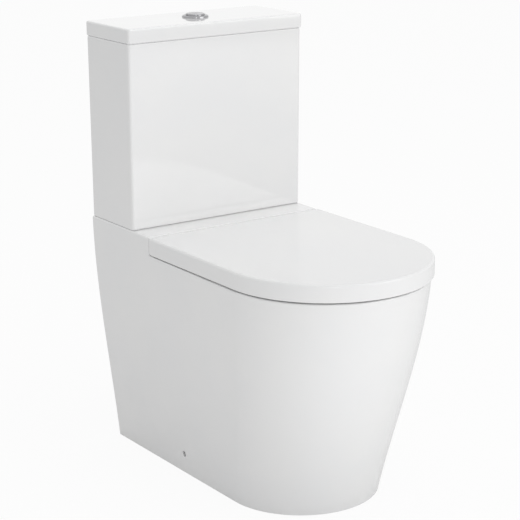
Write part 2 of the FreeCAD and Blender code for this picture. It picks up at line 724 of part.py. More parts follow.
def cistern():
    """Vitreous china tank with its floor's holes for the valves and bolts."""
    body = new_body("cistern")
    front = f"{WALL_Y} - cistern_deep"
    walls = new_sketch(body, "XY_Plane", "ledge_high")
    rectangle(walls, "-cistern_wide/2", "cistern_wide/2", front, WALL_Y)
    solid = pad(body, walls, "cistern_high")
    solid = fillet(body, solid, "corner_round", upright)
    foot = level("ledge_high")
    mouth = level(MOUTH_Z)
    solid = fillet(body, solid, "ceramic_round", lambda edge: foot(edge) or mouth(edge))
    inside = rectangle(new_sketch(body, "XY_Plane", MOUTH_Z),
                       "-cistern_wide/2 + cistern_wall", "cistern_wide/2 - cistern_wall",
                       f"{front} + cistern_wall", f"{WALL_Y} - cistern_wall")
    pocket(body, inside, "cistern_high - cistern_floor")
    floor_cut = "cistern_floor + overrun"
    bore(body, "XY_Plane", FLOOR_Z, "0", VALVE_Y, "tail_round + slip", floor_cut)
    bore(body, "XY_Plane", FLOOR_Z, "-fill_off", TANK_Y, "shank_nut_round + slip", floor_cut)
    bore(body, "XY_Plane", FLOOR_Z, "-bolt_off", TANK_Y, "bolt_hole", floor_cut)
    bore(body, "XY_Plane", FLOOR_Z, "bolt_off", TANK_Y, "bolt_hole", floor_cut)
    keep(body, "cistern")


def cistern_lid():
    """Loose china lid: a plate with a rim that rests on the tank and a lip that finds it."""
    body = new_body("cistern_lid")
    front = f"{WALL_Y} - cover_deep"
    plate = new_sketch(body, "XY_Plane", MOUTH_Z)
    rectangle(plate, "-cover_wide/2", "cover_wide/2", front, WALL_Y)
    solid = pad(body, plate, "cover_high")
    solid = fillet(body, solid, "corner_round", upright)
    foot = level(MOUTH_Z)
    top = level(TOP_Z)
    fillet(body, solid, "ceramic_round", lambda edge: foot(edge) or top(edge))
    hollow = rectangle(new_sketch(body, "XY_Plane", MOUTH_Z),
                       "-cover_wide/2 + cover_rim", "cover_wide/2 - cover_rim",
                       f"{front} + cover_rim + lip_gap", f"{WALL_Y} - cover_rim")
    pocket(body, hollow, "cover_high - cover_plate", up=True)
    inset = "(cistern_wall + lip_gap)"
    tank_front = f"{WALL_Y} - cistern_deep"
    lip = new_sketch(body, "XY_Plane", f"{MOUTH_Z} - lip_deep")
    rectangle(lip, f"-cistern_wide/2 + {inset}", f"cistern_wide/2 - {inset}",
              f"{tank_front} + {inset}", f"{WALL_Y} - {inset}")
    rectangle(lip, f"-cistern_wide/2 + {inset} + lip_thick", f"cistern_wide/2 - {inset} - lip_thick",
              f"{tank_front} + {inset} + lip_thick", f"{WALL_Y} - {inset} - lip_thick")
    pad(body, lip, "lip_deep + cover_high - cover_plate")
    bore(body, "XY_Plane", TOP_Z, "0", VALVE_Y, "bezel_sleeve + slip", "cover_plate + overrun")
    keep(body, "cistern_lid")


def button_bezel():
    """Chromed collar whose sleeve passes the lid and guides both buttons."""
    profile = [
        ("bezel_bore", f"{SLEEVE_FOOT_Z}"), ("bezel_sleeve", f"{SLEEVE_FOOT_Z}"),
        ("bezel_sleeve", TOP_Z), ("bezel_round", TOP_Z),
        ("bezel_round", f"{TOP_Z} + bezel_high - bezel_bevel"),
        ("bezel_round - bezel_bevel", f"{TOP_Z} + bezel_high"),
        ("bezel_bore", f"{TOP_Z} + bezel_high"),
    ]
    collar = turned("bezel_collar", profile, along=VALVE_Y)
    floor = cylinder("bezel_web", "bezel_sleeve", "bezel_floor", "0", VALVE_Y, SLEEVE_FOOT_Z)
    guides = [cylinder(f"{side}_guide", "rod_round + slip", "bezel_floor + 2*overrun", "0",
                       f"{VALVE_Y} {sign} rod_off", f"{SLEEVE_FOOT_Z} - overrun")
              for side, sign in (("front", "-"), ("rear", "+"))]
    keep(less("bezel", fused("bezel_body", collar, floor), *guides), "button_bezel")
    under_plate = f"({TOP_Z} - cover_plate)"
    nut = tube("bezel_sleeve", "bezel_nut_round", f"{under_plate} - bezel_nut_high", under_plate)
    keep(turned("bezel_nut", nut, along=VALVE_Y), "bezel_nut")


def flush_button(name, sign):
    """One half of the round button, its push rod and its spring. Rear is the full flush."""
    radius = "(bezel_bore - slip)"
    profile = [("0", BUTTON_FOOT_Z), (radius, BUTTON_FOOT_Z),
               (radius, f"{BUTTON_TOP_Z} - button_bevel"),
               (f"{radius} - button_bevel", BUTTON_TOP_Z), ("0", BUTTON_TOP_Z)]
    disc = turned(f"{name}_disc", profile, along=VALVE_Y)
    if sign == "+":
        span = (f"{VALVE_Y} - bezel_round", f"{VALVE_Y} + button_split/2")
    else:
        span = (f"{VALVE_Y} - button_split/2", f"{VALVE_Y} + bezel_round")
    away = block(f"{name}_split", [("-bezel_round", "bezel_round"), span,
                                   (f"{BUTTON_FOOT_Z} - overrun", f"{BUTTON_TOP_Z} + overrun")])
    keep(less(f"{name}_half", disc, away), f"{name}_flush_button")
    rod_y = f"({VALVE_Y} {sign} rod_off)"
    rod_z = f"({ROCKER_Z} + rocker_thick/2 + slip)"
    tip = doc.addObject("Part::Sphere", f"{name}_tip")
    bind(tip, "Radius", "rod_round")
    place(tip, "0", rod_y, f"{rod_z} + rod_round")
    stem = cylinder(f"{name}_rod", "rod_round", f"{BUTTON_FOOT_Z} - {rod_z} - rod_round",
                    "0", rod_y, f"{rod_z} + rod_round")
    keep(fused(f"{name}_rod_set", stem, tip), f"{name}_push_rod")
    spring = tube("spring_round - spring_wall", "spring_round",
                  f"{SLEEVE_FOOT_Z} + bezel_floor", BUTTON_FOOT_Z)
    keep(turned(f"{name}_spring", spring, along=rod_y), f"{name}_button_spring")


def flush_valve_base():
    """Threaded tail, flange and seat of the flush valve, with the rubber and nut that hold it."""
    tail_z = "(ledge_high - tail_long)"
    profile = [
        ("valve_bore", tail_z), ("tail_round", tail_z), ("tail_round", FLANGE_Z),
        ("valve_flange", FLANGE_Z), ("valve_flange", f"{FLANGE_Z} + flange_high"),
        ("valve_seat", f"{FLANGE_Z} + flange_high"), ("valve_seat", f"{SEAT_Z} - flange_high"),
        ("valve_bore + gasket_high", SEAT_Z), ("valve_bore", SEAT_Z),
    ]
    keep(turned("valve_base", profile, along=VALVE_Y), "flush_valve_base")
    nut_z = "(ledge_high - backnut_high)"
    for label, outer, low, high in (
            ("flush_valve_gasket", "valve_flange", FLOOR_Z, FLANGE_Z),
            ("valve_backnut", "backnut_round", nut_z, "ledge_high"),
            ("coupling_washer", "washer_round", f"({nut_z} - washer_high)", nut_z)):
        ring_on_tail = turned(f"{label}_ring", tube("tail_round", outer, low, high), along=VALVE_Y)
        keep(ring_on_tail, label)


def flush_valve_frame():
    """Cage on the valve's flange: a ring, four posts and a bridge with the rockers' lugs."""
    ring_z = f"({FLANGE_Z} + flange_high)"
    bridge_z = f"({CAGE_Z} - bridge_thick)"
    foot_profile = tube("valve_seat + slip", "cage_round", ring_z, f"{ring_z} + cage_ring")
    foot = turned("cage_foot", foot_profile, along=VALVE_Y)
    bridge_profile = tube("lift_round + slip", "cage_round", bridge_z, CAGE_Z)
    bridge = turned("cage_bridge", bridge_profile, along=VALVE_Y)
    posts = []
    reach = "(cage_round - cage_post/2)/sqrt(2)"
    for across in ("-", ""):
        for along in ("-", "+"):
            posts.append(block(f"cage_post_{len(posts)}", [
                (f"{across}{reach} - cage_post/2", f"{across}{reach} + cage_post/2"),
                (f"{VALVE_Y} {along} {reach} - cage_post/2", f"{VALVE_Y} {along} {reach} + cage_post/2"),
                (f"{ring_z} + cage_ring/2", CAGE_Z)]))
    within_profile = tube("valve_seat + slip", "cage_round", FLANGE_Z, CAGE_Z)
    within = turned("cage_edge", within_profile, along=VALVE_Y)
    trimmed = doc.addObject("Part::MultiCommon", "cage_posts")
    trimmed.Shapes = [fused("cage_post_set", *posts), within]
    lugs = []
    holes = []
    for name, across, along in (("full", "-", "+"), ("half", "", "-")):
        face = f"({VALVE_Y} {along} (rocker_off + rocker_wide/2 + slip))"
        far = f"({face} {along} lug_thick)"
        near_y, far_y = (face, far) if along == "+" else (far, face)
        lugs.append(block(f"{name}_lug", [
            (f"{across}press_arm - lug_wide/2", f"{across}press_arm + lug_wide/2"),
            (near_y, far_y), (f"{CAGE_Z} - bridge_thick/2", f"{ROCKER_Z} + lug_wide/2")]))
        holes.append(cylinder(f"{name}_lug_hole", "rocker_pin", "lug_thick + 2*overrun",
                              f"{across}press_arm", f"{near_y} - overrun", ROCKER_Z, V(0, 1, 0)))
    frame = less("cage", fused("cage_solid", foot, bridge, trimmed, *lugs), *holes)
    keep(frame, "flush_valve_frame")


def rocker(name, across, along):
    """Lever on a pin in the cage's lug. The push rod presses its short end."""
    body = new_body(f"{name}_rocker")
    outer = f"{across}(press_arm + lift_arm)"
    inner = f"-({across}rocker_thick/2)"
    ends = (outer, inner) if across == "-" else (inner, outer)
    sketch = new_sketch(body, "XZ_Plane", f"-({VALVE_Y} {along} rocker_off)")
    low = f"{ROCKER_Z} - rocker_thick/2"
    high = f"{ROCKER_Z} + rocker_thick/2"
    rectangle(sketch, *ends, low, high)
    solid = pad(body, sketch, "rocker_wide", middle=True)
    far = number(outer)
    near = number("running")

    def at_lifting_end(edge):
        box = edge.BoundBox
        return abs(box.XMin - far) < near and box.XLength < near and box.YLength > box.ZLength
    fillet(body, solid, "rocker_thick/2 - running", at_lifting_end)
    hole = ring(new_sketch(body, "XZ_Plane", f"-({VALVE_Y} {along} rocker_off) + rocker_wide"),
                f"{across}press_arm", ROCKER_Z, "rocker_pin + running")
    pocket(body, hole, "2*rocker_wide")
    keep(body, f"{name}_rocker")
    start = f"{VALVE_Y} {along} rocker_off - rocker_wide/2"
    if along == "-":
        start += " - slip - lug_thick"
    return cylinder(f"{name}_pin", "rocker_pin", "rocker_wide + slip + lug_thick",
                    f"{across}press_arm", start, ROCKER_Z, V(0, 1, 0))


def rockers():
    pins = [rocker("full", "-", "+"), rocker("half", "", "-")]
    keep(group("rocker_pin_set", *pins), "rocker_pins")


def lift_tube():
    """Overflow tube that lifts the seal, with a yoke over the rockers' lifting ends."""
    foot_z = f"({SEAT_Z} + seal_high)"
    top_z = f"({CAGE_Z} + lift_wall)"
    profile = [
        ("lift_round - lift_wall", foot_z), ("lift_flange", foot_z),
        ("lift_flange", f"{foot_z} + lift_plate"), ("lift_round", f"{foot_z} + lift_plate"),
        ("lift_round", top_z), ("lift_round - lift_wall", top_z),
    ]
    stem = turned("lift_stem", profile, along=VALVE_Y)
    arm = "(press_arm + lift_arm + yoke_over)"
    full_z = f"({ROCKER_Z} + rocker_thick/2 + slip)"
    half_z = f"({full_z} + yoke_lift)"
    web = block("yoke_web", [(f"-{arm}", arm), (f"{VALVE_Y} - yoke_wide/2", f"{VALVE_Y} + yoke_wide/2"),
                             (f"{CAGE_Z} + lift_wall/2", f"{half_z} + yoke_thick")])
    reach = "(rocker_off + rocker_wide/2)"
    full_tab = block("full_tab", [(f"-{arm}", f"-{arm} + yoke_tab"), (VALVE_Y, f"{VALVE_Y} + {reach}"),
                                  (full_z, f"{full_z} + yoke_thick")])
    half_tab = block("half_tab", [(f"{arm} - yoke_tab", arm), (f"{VALVE_Y} - {reach}", VALVE_Y),
                                  (half_z, f"{half_z} + yoke_thick")])
    keep(fused("lift", stem, web, full_tab, half_tab), "lift_tube")
    keep(turned("seal", tube("lift_round - lift_wall", "seal_round", SEAT_Z, foot_z), along=VALVE_Y),
         "flush_valve_seal")


def fill_valve():
    """Side fill valve: inlet shank, column and head, with its washer and nut."""
    at = ("-fill_off", TANK_Y)
    nut_z = "(ledge_high - fill_nut_high)"
    profile = [
        ("shank_bore", "ledge_high - shank_long"), ("shank_round", "ledge_high - shank_long"),
        ("shank_round", f"{nut_z} - shank_relief"), ("shank_neck", f"{nut_z} - shank_relief"),
        ("shank_neck", nut_z), ("shank_nut_round", nut_z),
        ("shank_nut_round", FLANGE_Z), ("shank_flange", FLANGE_Z),
        ("shank_flange", f"{FLANGE_Z} + flange_high"), ("column_round", f"{FLANGE_Z} + flange_high"),
        ("column_round", COLUMN_Z), ("shank_bore", COLUMN_Z),
    ]
    keep(turned("fill_body", profile, *at), "fill_valve_body")
    head = turned("fill_head", [
        ("0", COLUMN_Z), ("cap_round", COLUMN_Z), ("cap_round", f"{COLUMN_Z} + cap_high - cap_bevel"),
        ("cap_round - cap_bevel", f"{COLUMN_Z} + cap_high"), ("0", f"{COLUMN_Z} + cap_high")], *at)
    pivot = "(-fill_off - lever_back)"
    side = f"({TANK_Y} + lever_wide/2 + slip)"
    lug = block("lever_lug", [(f"{pivot} - lever_wide/2", f"{pivot} + lever_wide/2"),
                              (side, f"{side} + lug_thick"),
                              (f"{COLUMN_Z} + cap_high/2", f"{LEVER_Z} + lever_thick/2 + slip")])
    pin = cylinder("lever_pin", "lever_pin", "lever_wide + 2*slip + lug_thick", pivot,
                   f"{TANK_Y} - lever_wide/2 - slip", LEVER_Z, V(0, 1, 0))
    keep(fused("fill_cap", head, lug, pin), "fill_valve_head")
    gasket = tube("shank_nut_round", "shank_flange", FLOOR_Z, FLANGE_Z)
    keep(turned("fill_gasket", gasket, *at), "fill_valve_washer")
    nut = tube("shank_nut_round", "fill_nut_round", nut_z, "ledge_high")
    keep(turned("fill_nut", nut, *at), "fill_valve_nut")


def float_set():
    """Float cup that slides on the column, the link on it and the lever that it lifts."""
    at = ("-fill_off", TANK_Y)
    top_z = f"({COLUMN_Z} - float_travel - slip)"
    foot_z = f"({top_z} - cup_high)"
    inner = "(column_round + cup_gap)"
    cup = turned("float_cup", [
        (inner, foot_z), (f"{inner} + cup_wall", foot_z),
        (f"{inner} + cup_wall", f"{top_z} - cup_wall"),
        ("cup_round - cup_wall", f"{top_z} - cup_wall"), ("cup_round - cup_wall", foot_z),
        ("cup_round", foot_z), ("cup_round", top_z), (inner, top_z)], *at)
    keep(cup, "float_cup")
    link_x = "(-fill_off - lever_back + lever_arm)"
    under_lever = f"({LEVER_Z} - lever_thick/2 - slip)"
    link = cylinder("link", "link_round", f"{under_lever} - {top_z}", link_x, TANK_Y, top_z)
    keep(link, "float_link")
    body = new_body("float_lever")
    pivot = "(-fill_off - lever_back)"
    sketch = new_sketch(body, "XZ_Plane", f"-{TANK_Y}")
    rectangle(sketch, f"{pivot} - lever_thick/2", f"{pivot} + lever_arm + lever_thick",
              f"{LEVER_Z} - lever_thick/2", f"{LEVER_Z} + lever_thick/2")
    pad(body, sketch, "lever_wide", middle=True)
    hole = new_sketch(body, "XZ_Plane", f"-{TANK_Y} + lever_wide")
    ring(hole, pivot, LEVER_Z, "lever_pin + running")
    pocket(body, hole, "2*lever_wide")
    keep(body, "float_lever")


def cistern_fixings():
    """Two bolts that hold the cistern on the ledge, with rubber washers and wing nuts."""
    at = ("-bolt_off", TANK_Y)
    head_z = f"({FLOOR_Z} + gasket_high)"
    bolt = turned("bolt", [
        ("0", "ledge_high - rim_slab - bolt_below"), ("bolt_round", "ledge_high - rim_slab - bolt_below"),
        ("bolt_round", head_z), ("bolt_head", head_z), ("bolt_head", f"{head_z} + bolt_head_high"),
        ("0", f"{head_z} + bolt_head_high")], *at)
    keep(both_sides("bolt_pair", bolt), "cistern_bolts")
    upper = turned("bolt_seal", tube("bolt_round", "bolt_washer", FLOOR_Z, head_z), *at)
    lower_z = f"({UNDER_LEDGE_Z} - gasket_high)"
    lower = turned("bolt_pad", tube("bolt_round", "bolt_washer", lower_z, UNDER_LEDGE_Z), *at)
    keep(group("bolt_rubbers", upper, mirrored(upper), lower, mirrored(lower)), "bolt_washers")
    hub = turned("nut_hub", tube("bolt_round", "bolt_nut_round", f"{lower_z} - bolt_nut_high", lower_z), *at)
    wings = block("nut_wings", [
        ("-bolt_off - wing_long", "-bolt_off + wing_long"),
        (f"{TANK_Y} - wing_thick/2", f"{TANK_Y} + wing_thick/2"),
        (f"{lower_z} - bolt_nut_high - wing_drop", f"{lower_z} - bolt_nut_high/4")])
    eye_z = f"({lower_z} - bolt_nut_high - wing_drop - overrun)"
    eye = cylinder("nut_eye", "bolt_round", f"{lower_z} + overrun - {eye_z}", *at, eye_z)
    nut = less("wing_nut", fused("nut_solid", hub, wings), eye)
    keep(both_sides("nut_pair", nut), "cistern_wing_nuts")


def seat_outline(sketch, inset, rear):
    """The seat's outline: straight sides and a half-round front."""
    half = f"(lid_wide/2 - {inset})"
    corners = [(f"-{half}", rear), (f"-{half}", LID_NOSE_Y), (half, LID_NOSE_Y), (half, rear)]
    return outline(sketch, corners, {1: LID_NOSE_Y})


def along_x(name, radius, start, end):
    """A bar on the hinge line between two places."""
    return cylinder(name, radius, f"({end}) - ({start})", start, HINGE_Y, HINGE_Z, V(1, 0, 0))


def seat_lid():
    """Moulded lid that wraps over the ring, with lugs under it for the hinge pins."""
    body = new_body("lid_shell")
    shell = seat_outline(new_sketch(body, "XY_Plane", LID_FOOT_Z), "0", LID_REAR_Y)
    solid = pad(body, shell, "lid_tall")
    rear = number(LID_REAR_Y)
    near = number("running")

    def rear_corner(edge):
        return upright(edge) and edge.BoundBox.YMin > rear - near
    solid = fillet(body, solid, "corner_round", rear_corner)
    fillet(body, solid, "lid_round", level("ledge_high"))
    hollow = new_sketch(body, "XY_Plane", LID_FOOT_Z)
    seat_outline(hollow, "lid_wall", f"{LID_REAR_Y} - lid_wall")
    pocket(body, hollow, "lid_tall - lid_wall", up=True)
    heel_y = f"{LID_REAR_Y} - lid_heel"
    heel_z = f"{LID_FOOT_Z} + lid_heel"
    past_y = f"{LID_REAR_Y} + overrun"
    past_z = f"{LID_FOOT_Z} - overrun"
    heel = outline(new_sketch(body, "YZ_Plane"), [
        (heel_y, past_z), (past_y, past_z), (past_y, heel_z), (LID_REAR_Y, heel_z), (heel_y, LID_FOOT_Z)])
    pocket(body, heel, "2*lid_wide", middle=True)
    inside = "(lid_wide/2 - lid_wall)"
    low_wall = new_sketch(body, "XY_Plane", LID_FOOT_Z)
    rectangle(low_wall, f"-{inside}", inside, f"{LID_REAR_Y} - 2*lid_wall", f"{LID_REAR_Y} + overrun")
    pocket(body, low_wall, "lid_tall - lid_back_tall", up=True)
    post = "(post_round + post_gap)"
    for sign in ("-", ""):
        notch = new_sketch(body, "XY_Plane", LID_FOOT_Z)
        rectangle(notch, f"{sign}hinge_off - {post}", f"{sign}hinge_off + {post}",
                  HINGE_Y, f"{LID_REAR_Y} + overrun")
        pocket(body, notch, "lid_tall - lid_thin", up=True)
    lugs = []
    cuts = []
    under = "(ledge_high - lid_wall/2)"
    start = "(hinge_off + post_wide/2 + slip)"
    for name, low in (("near", start), ("far", f"({start} + lug_long + damper_long)")):
        high = f"({low} + lug_long)"
        lugs.append(along_x(f"lid_{name}_barrel", "barrel_round", low, high))
        web_y = (f"{HINGE_Y} - barrel_round", f"{HINGE_Y} + barrel_round")
        lugs.append(block(f"lid_{name}_web", [(low, high), web_y, (HINGE_Z, under)]))
        cuts.append(along_x(f"lid_{name}_bore", "pin_round + running", f"{low} - slip", f"{high} + slip"))
    lug_set = less("lid_lugs", fused("lid_lug_solid", *lugs), *cuts)
    keep(fused("lid", body, lug_set, mirrored(lug_set)), "seat_lid")


def seat_ring():
    """Moulded seat ring with its opening, and lugs at the rear on the same pins."""
    body = new_body("ring_plate")
    rear = f"({HINGE_Y} - ring_rear)"
    plan = seat_outline(new_sketch(body, "XY_Plane", RING_FOOT_Z), "ring_inset", rear)
    back_y = f"({RING_HOLE_Y} + hole_straight)"
    outline(plan, [("-hole_round", back_y), ("-hole_round", RING_HOLE_Y),
                   ("hole_round", RING_HOLE_Y), ("hole_round", back_y)], {1: RING_HOLE_Y, 3: back_y})
    solid = pad(body, plan, "ring_thick")
    hole = number("hole_round")
    near = number("running")
    rear_y = number(rear)
    top = level(RING_TOP_Z)

    def inner(edge):
        box = edge.BoundBox
        return max(abs(box.XMin), abs(box.XMax)) < hole + near and box.YMax < rear_y - near

    def rear_corner(edge):
        return upright(edge) and edge.BoundBox.YMin > rear_y - near
    solid = fillet(body, solid, "ring_corner", rear_corner)
    solid = fillet(body, solid, "ring_inner_round", lambda edge: top(edge) and inner(edge))
    fillet(body, solid, "ring_round", lambda edge: top(edge) and not inner(edge))
    low = "(hinge_off - post_wide/2 - slip - lug_long)"
    high = "(hinge_off - post_wide/2 - slip)"
    barrel = along_x("ring_barrel", "barrel_round", low, high)
    arm = block("ring_arm", [(low, high), (f"{rear} - ring_rear", HINGE_Y),
                             (f"{HINGE_Z} - barrel_round", f"{RING_TOP_Z} - ring_lug_down")])
    cut = along_x("ring_bore", "pin_round + running", f"{low} - slip", f"{high} + slip")
    lug = less("ring_lug", fused("ring_lug_solid", barrel, arm), cut)
    keep(fused("ring", body, lug, mirrored(lug)), "seat_ring")


def buffers(name, foot_z, high):
    """Four rubber pads at the sides and the front."""
    pieces = []
    profile = [("0", "0"), ("buffer_round", "0"), ("buffer_round", high), ("0", high)]
    for place_of in ("side", "front"):
        one = turned(f"{name}_{place_of}", profile,
                     f"-buffer_{place_of}", f"-buffer_{place_of}_ahead", foot_z)
        pieces += [one, mirrored(one)]
    keep(group(f"{name}_set", *pieces), name)


def hinges():
    """Posts, pins, foot plates, studs, rubber bushes and nuts of the two hinges."""
    for name, sign in (("left", "-"), ("right", "")):
        across = f"{sign}hinge_off"
        column = cylinder(f"{name}_column", "post_round", f"{HINGE_Z} - rim_high - rosette_high",
                          across, HINGE_Y, "rim_high + rosette_high")
        head = along_x(f"{name}_head", "barrel_round", f"{across} - post_wide/2", f"{across} + post_wide/2")
        eye = along_x(f"{name}_eye", "pin_round", f"{across} - post_wide", f"{across} + post_wide")
        keep(less(f"{name}_post", fused(f"{name}_post_solid", column, head), eye), f"hinge_post_{name}")
    reach = "(post_wide/2 + lug_long)"
    pin = along_x("pin", "pin_round", f"hinge_off - {reach}", f"hinge_off + {reach}")
    keep(both_sides("pin_pair", pin), "hinge_pins")
    at = ("hinge_off", HINGE_Y)
    plate_top = "(rim_high + rosette_high)"
    plate = turned("plate", [("stud_round", "rim_high"), ("rosette_round", "rim_high"),
                             ("rosette_round", f"{plate_top} - rosette_high/2"),
                             ("rosette_round - rosette_high/2", plate_top), ("stud_round", plate_top)], *at)
    keep(both_sides("plate_pair", plate), "hinge_rosettes")
    stud_foot = f"({UNDER_RIM_Z} - stud_below)"
    stud = cylinder("stud", "stud_round", f"{plate_top} - {stud_foot}", *at, stud_foot)
    keep(both_sides("stud_pair", stud), "hinge_studs")
    flange_z = f"({UNDER_RIM_Z} - bush_high)"
    bush = turned("bush", [("stud_round", flange_z), ("bush_flange", flange_z), ("bush_flange", UNDER_RIM_Z),
                           ("stud_hole", UNDER_RIM_Z), ("stud_hole", "rim_high"), ("stud_round", "rim_high")], *at)
    keep(both_sides("bush_pair", bush), "hinge_bushes")
    nut_z = f"({flange_z} - hinge_nut_high)"
    nut = turned("hinge_nut", tube("stud_round", "hinge_nut_round", nut_z, flange_z), *at)
    keep(both_sides("hinge_nut_pair", nut), "hinge_nuts")
    start = "(hinge_off + post_wide/2 + slip + lug_long)"
    damper = along_x("damper", "barrel_round", start, f"{start} + damper_long")
    keep(both_sides("damper_pair", damper), "lid_dampers")


def skirt_half_width(height):
    """Half the skirt's width at a height, read from its form."""
    cut = skirt_form(0, number(WALL_Y)).slice(V(0, 0, 1), height)
    return cut[0].BoundBox.XLength / 2


def floor_fixings():
    """Angle brackets on the floor inside the skirt, and the side screws that hold the pan."""
    face = "(foot_wide/2 - pan_wall - bracket_gap)"
    y_low = f"({BRACKET_Y} - bracket_wide/2)"
    y_high = f"({BRACKET_Y} + bracket_wide/2)"
    for name, sign in (("left", "-"), ("right", "")):
        if sign:
            upright_span = (f"-{face}", f"-{face} + bracket_thick")
            foot_span = (f"-{face}", f"-{face} + bracket_foot")
        else:
            upright_span = (f"{face} - bracket_thick", face)
            foot_span = (f"{face} - bracket_foot", face)
        plate = block(f"{name}_upright", [upright_span, (y_low, y_high), ("0", "bracket_high")])
        foot = block(f"{name}_foot", [foot_span, (y_low, y_high), ("0", "bracket_plate")])
        hole = cylinder(f"{name}_floor_hole", "bracket_hole", "bracket_plate + 2*overrun",
                        f"{sign}bracket_off", BRACKET_Y, "-overrun")
        thread = cylinder(f"{name}_thread", "screw_round", "2*bracket_thick", f"{sign}{face} - bracket_thick",
                          BRACKET_Y, "side_hole_high", V(1, 0, 0))
        keep(less(f"{name}_bracket", fused(f"{name}_angle", plate, foot), hole, thread), f"floor_bracket_{name}")
    surface = skirt_half_width(number("side_hole_high"))
    spot_y = number(BRACKET_Y)
    spot_z = number("side_hole_high")
    cap_high = number("screw_cap_high")
    head_high = number("screw_head_high")
    cap_out = surface - number("screw_sunk")
    head_out = cap_out - cap_high
    tip = number(f"{face} - bracket_thick")
    screws = []
    caps = []
    for side in (-1, 1):
        way = V(side, 0, 0)
        head_start = V(side * (head_out - head_high), spot_y, spot_z)
        head = Part.makeCylinder(number("screw_head"), head_high, head_start, way)
        shank_start = V(side * tip, spot_y, spot_z)
        shank = Part.makeCylinder(number("screw_round"), head_out - tip, shank_start, way)
        screws.append(head.fuse(shank).removeSplitter())
        cap_start = V(side * head_out, spot_y, spot_z)
        caps.append(Part.makeCylinder(number("screw_cap"), cap_high, cap_start, way))
    keep(shaped("screw_pair", Part.makeCompound(screws)), "side_screws")
    keep(shaped("cap_pair", Part.makeCompound(caps)), "side_screw_caps")


def write_parts():
    """Check every object, then write each sub-part to its own file."""
    doc.removeObject(reckoner.Name)
    doc.recompute()
    for thing in doc.Objects:
        if "Invalid" in thing.State or "Error" in thing.State:
            raise RuntimeError(f"{thing.Name} failed: {thing.State}")
    for thing in kept:
        if thing.Shape.isNull() or not thing.Shape.isValid():
            raise RuntimeError(f"{thing.Label} has no valid shape")
    os.makedirs("parts", exist_ok=True)
    for thing in kept:
        thing.Shape.exportStep(f"parts/{thing.Label}.step")
        print(thing.Label, len(thing.Shape.Solids), round(thing.Shape.Volume))


fill_sheet()
pan()
cistern()
cistern_lid()
button_bezel()
flush_button("full", "+")
flush_button("half", "-")
flush_valve_base()
flush_valve_frame()
rockers()
lift_tube()
fill_valve()
float_set()
cistern_fixings()
seat_lid()
seat_ring()
buffers("ring_buffers", "rim_high", "buffer_high")
buffers("lid_buffers", RING_TOP_Z, f"ledge_high - lid_wall - {RING_TOP_Z}")
hinges()
floor_fixings()
write_parts()
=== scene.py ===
"""The looks of a white close-coupled toilet, put on round its packed construction.

Metres. The wall behind the toilet is towards +Y, the front of the seat towards -Y, the floor at 0.
"""
import json
import math
import bmesh
import bpy
from mathutils import Matrix, Vector


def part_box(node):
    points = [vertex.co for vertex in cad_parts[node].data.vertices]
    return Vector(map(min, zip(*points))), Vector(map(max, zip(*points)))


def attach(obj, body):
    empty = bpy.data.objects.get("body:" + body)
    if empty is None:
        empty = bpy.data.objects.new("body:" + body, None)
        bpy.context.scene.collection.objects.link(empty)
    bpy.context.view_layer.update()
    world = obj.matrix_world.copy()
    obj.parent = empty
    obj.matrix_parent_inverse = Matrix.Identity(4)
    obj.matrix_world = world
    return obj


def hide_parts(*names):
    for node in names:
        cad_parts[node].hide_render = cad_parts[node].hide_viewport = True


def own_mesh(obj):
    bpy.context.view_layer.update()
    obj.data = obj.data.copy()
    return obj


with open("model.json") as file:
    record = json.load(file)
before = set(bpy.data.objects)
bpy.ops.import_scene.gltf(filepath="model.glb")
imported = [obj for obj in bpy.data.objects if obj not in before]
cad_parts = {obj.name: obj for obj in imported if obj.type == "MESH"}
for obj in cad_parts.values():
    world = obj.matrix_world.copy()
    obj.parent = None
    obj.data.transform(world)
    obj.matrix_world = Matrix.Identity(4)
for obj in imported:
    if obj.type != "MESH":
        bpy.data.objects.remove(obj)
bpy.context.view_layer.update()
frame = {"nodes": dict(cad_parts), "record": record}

# The pan is one piece of slip-cast china: a skirt down to the floor, a flat rim round the
# bowl and a ledge that carries the cistern. It is fired with a thick clear-white glaze.
pan_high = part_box("pan")[1]
seat_low, seat_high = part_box("seat_lid")
wall_y, ledge_z = pan_high.y, pan_high.z
ledge_gap, rim_gap = 0.0025, 0.002
ledge_y = seat_high.y + ledge_gap
rim_z = seat_low.z - rim_gap
foot_half, foot_long = 0.138, 0.531
top_half, top_long = 0.1815, 0.642
nose_y = wall_y - foot_long + foot_half
swell_stops = (0.0, 0.46, 0.83, 1.0)
swell_shares = (0.0, 0.56, 0.93, 1.0)
china_wall, china_round = 0.012, 0.0032
nose_sides, skirt_levels = 96, 14
sharp_edge = 0.7  # radians between the faces of an edge that gets rounded
overrun = 0.01  # how far a cutting solid passes the faces that it cuts


def leave(piece):
    """Back to object mode, with only this piece selected."""
    if bpy.context.object and bpy.context.object.mode != "OBJECT":
        bpy.ops.object.mode_set(mode="OBJECT")
    bpy.ops.object.select_all(action="DESELECT")
    bpy.context.view_layer.objects.active = piece
    piece.select_set(True)


def edit(piece):
    """Work on this piece alone, in edit mode."""
    leave(piece)
    bpy.ops.object.mode_set(mode="EDIT")


def settle():
    """Put the selected object's place, turn and size into its mesh."""
    bpy.ops.object.transform_apply(location=True, rotation=True, scale=True)


def drawn_circle(name, radius, place, sides, filled=False, turn=(0, 0, 0)):
    """A circle to start a piece from, left in edit mode and selected all over."""
    bpy.ops.object.select_all(action="DESELECT")
    bpy.ops.mesh.primitive_circle_add(vertices=sides, radius=radius, location=place, rotation=turn,
                                      fill_type="NGON" if filled else "NOTHING")
    circle = bpy.context.object
    circle.name = name
    settle()
    edit(circle)
    bpy.ops.mesh.select_all(action="SELECT")
    return circle


def near(value, goal, within=1e-4):
    return abs(value - goal) < within


def middle_of(item):
    """The middle of an edge or a face."""
    return sum((point.co for point in item.verts), Vector()) / len(item.verts)


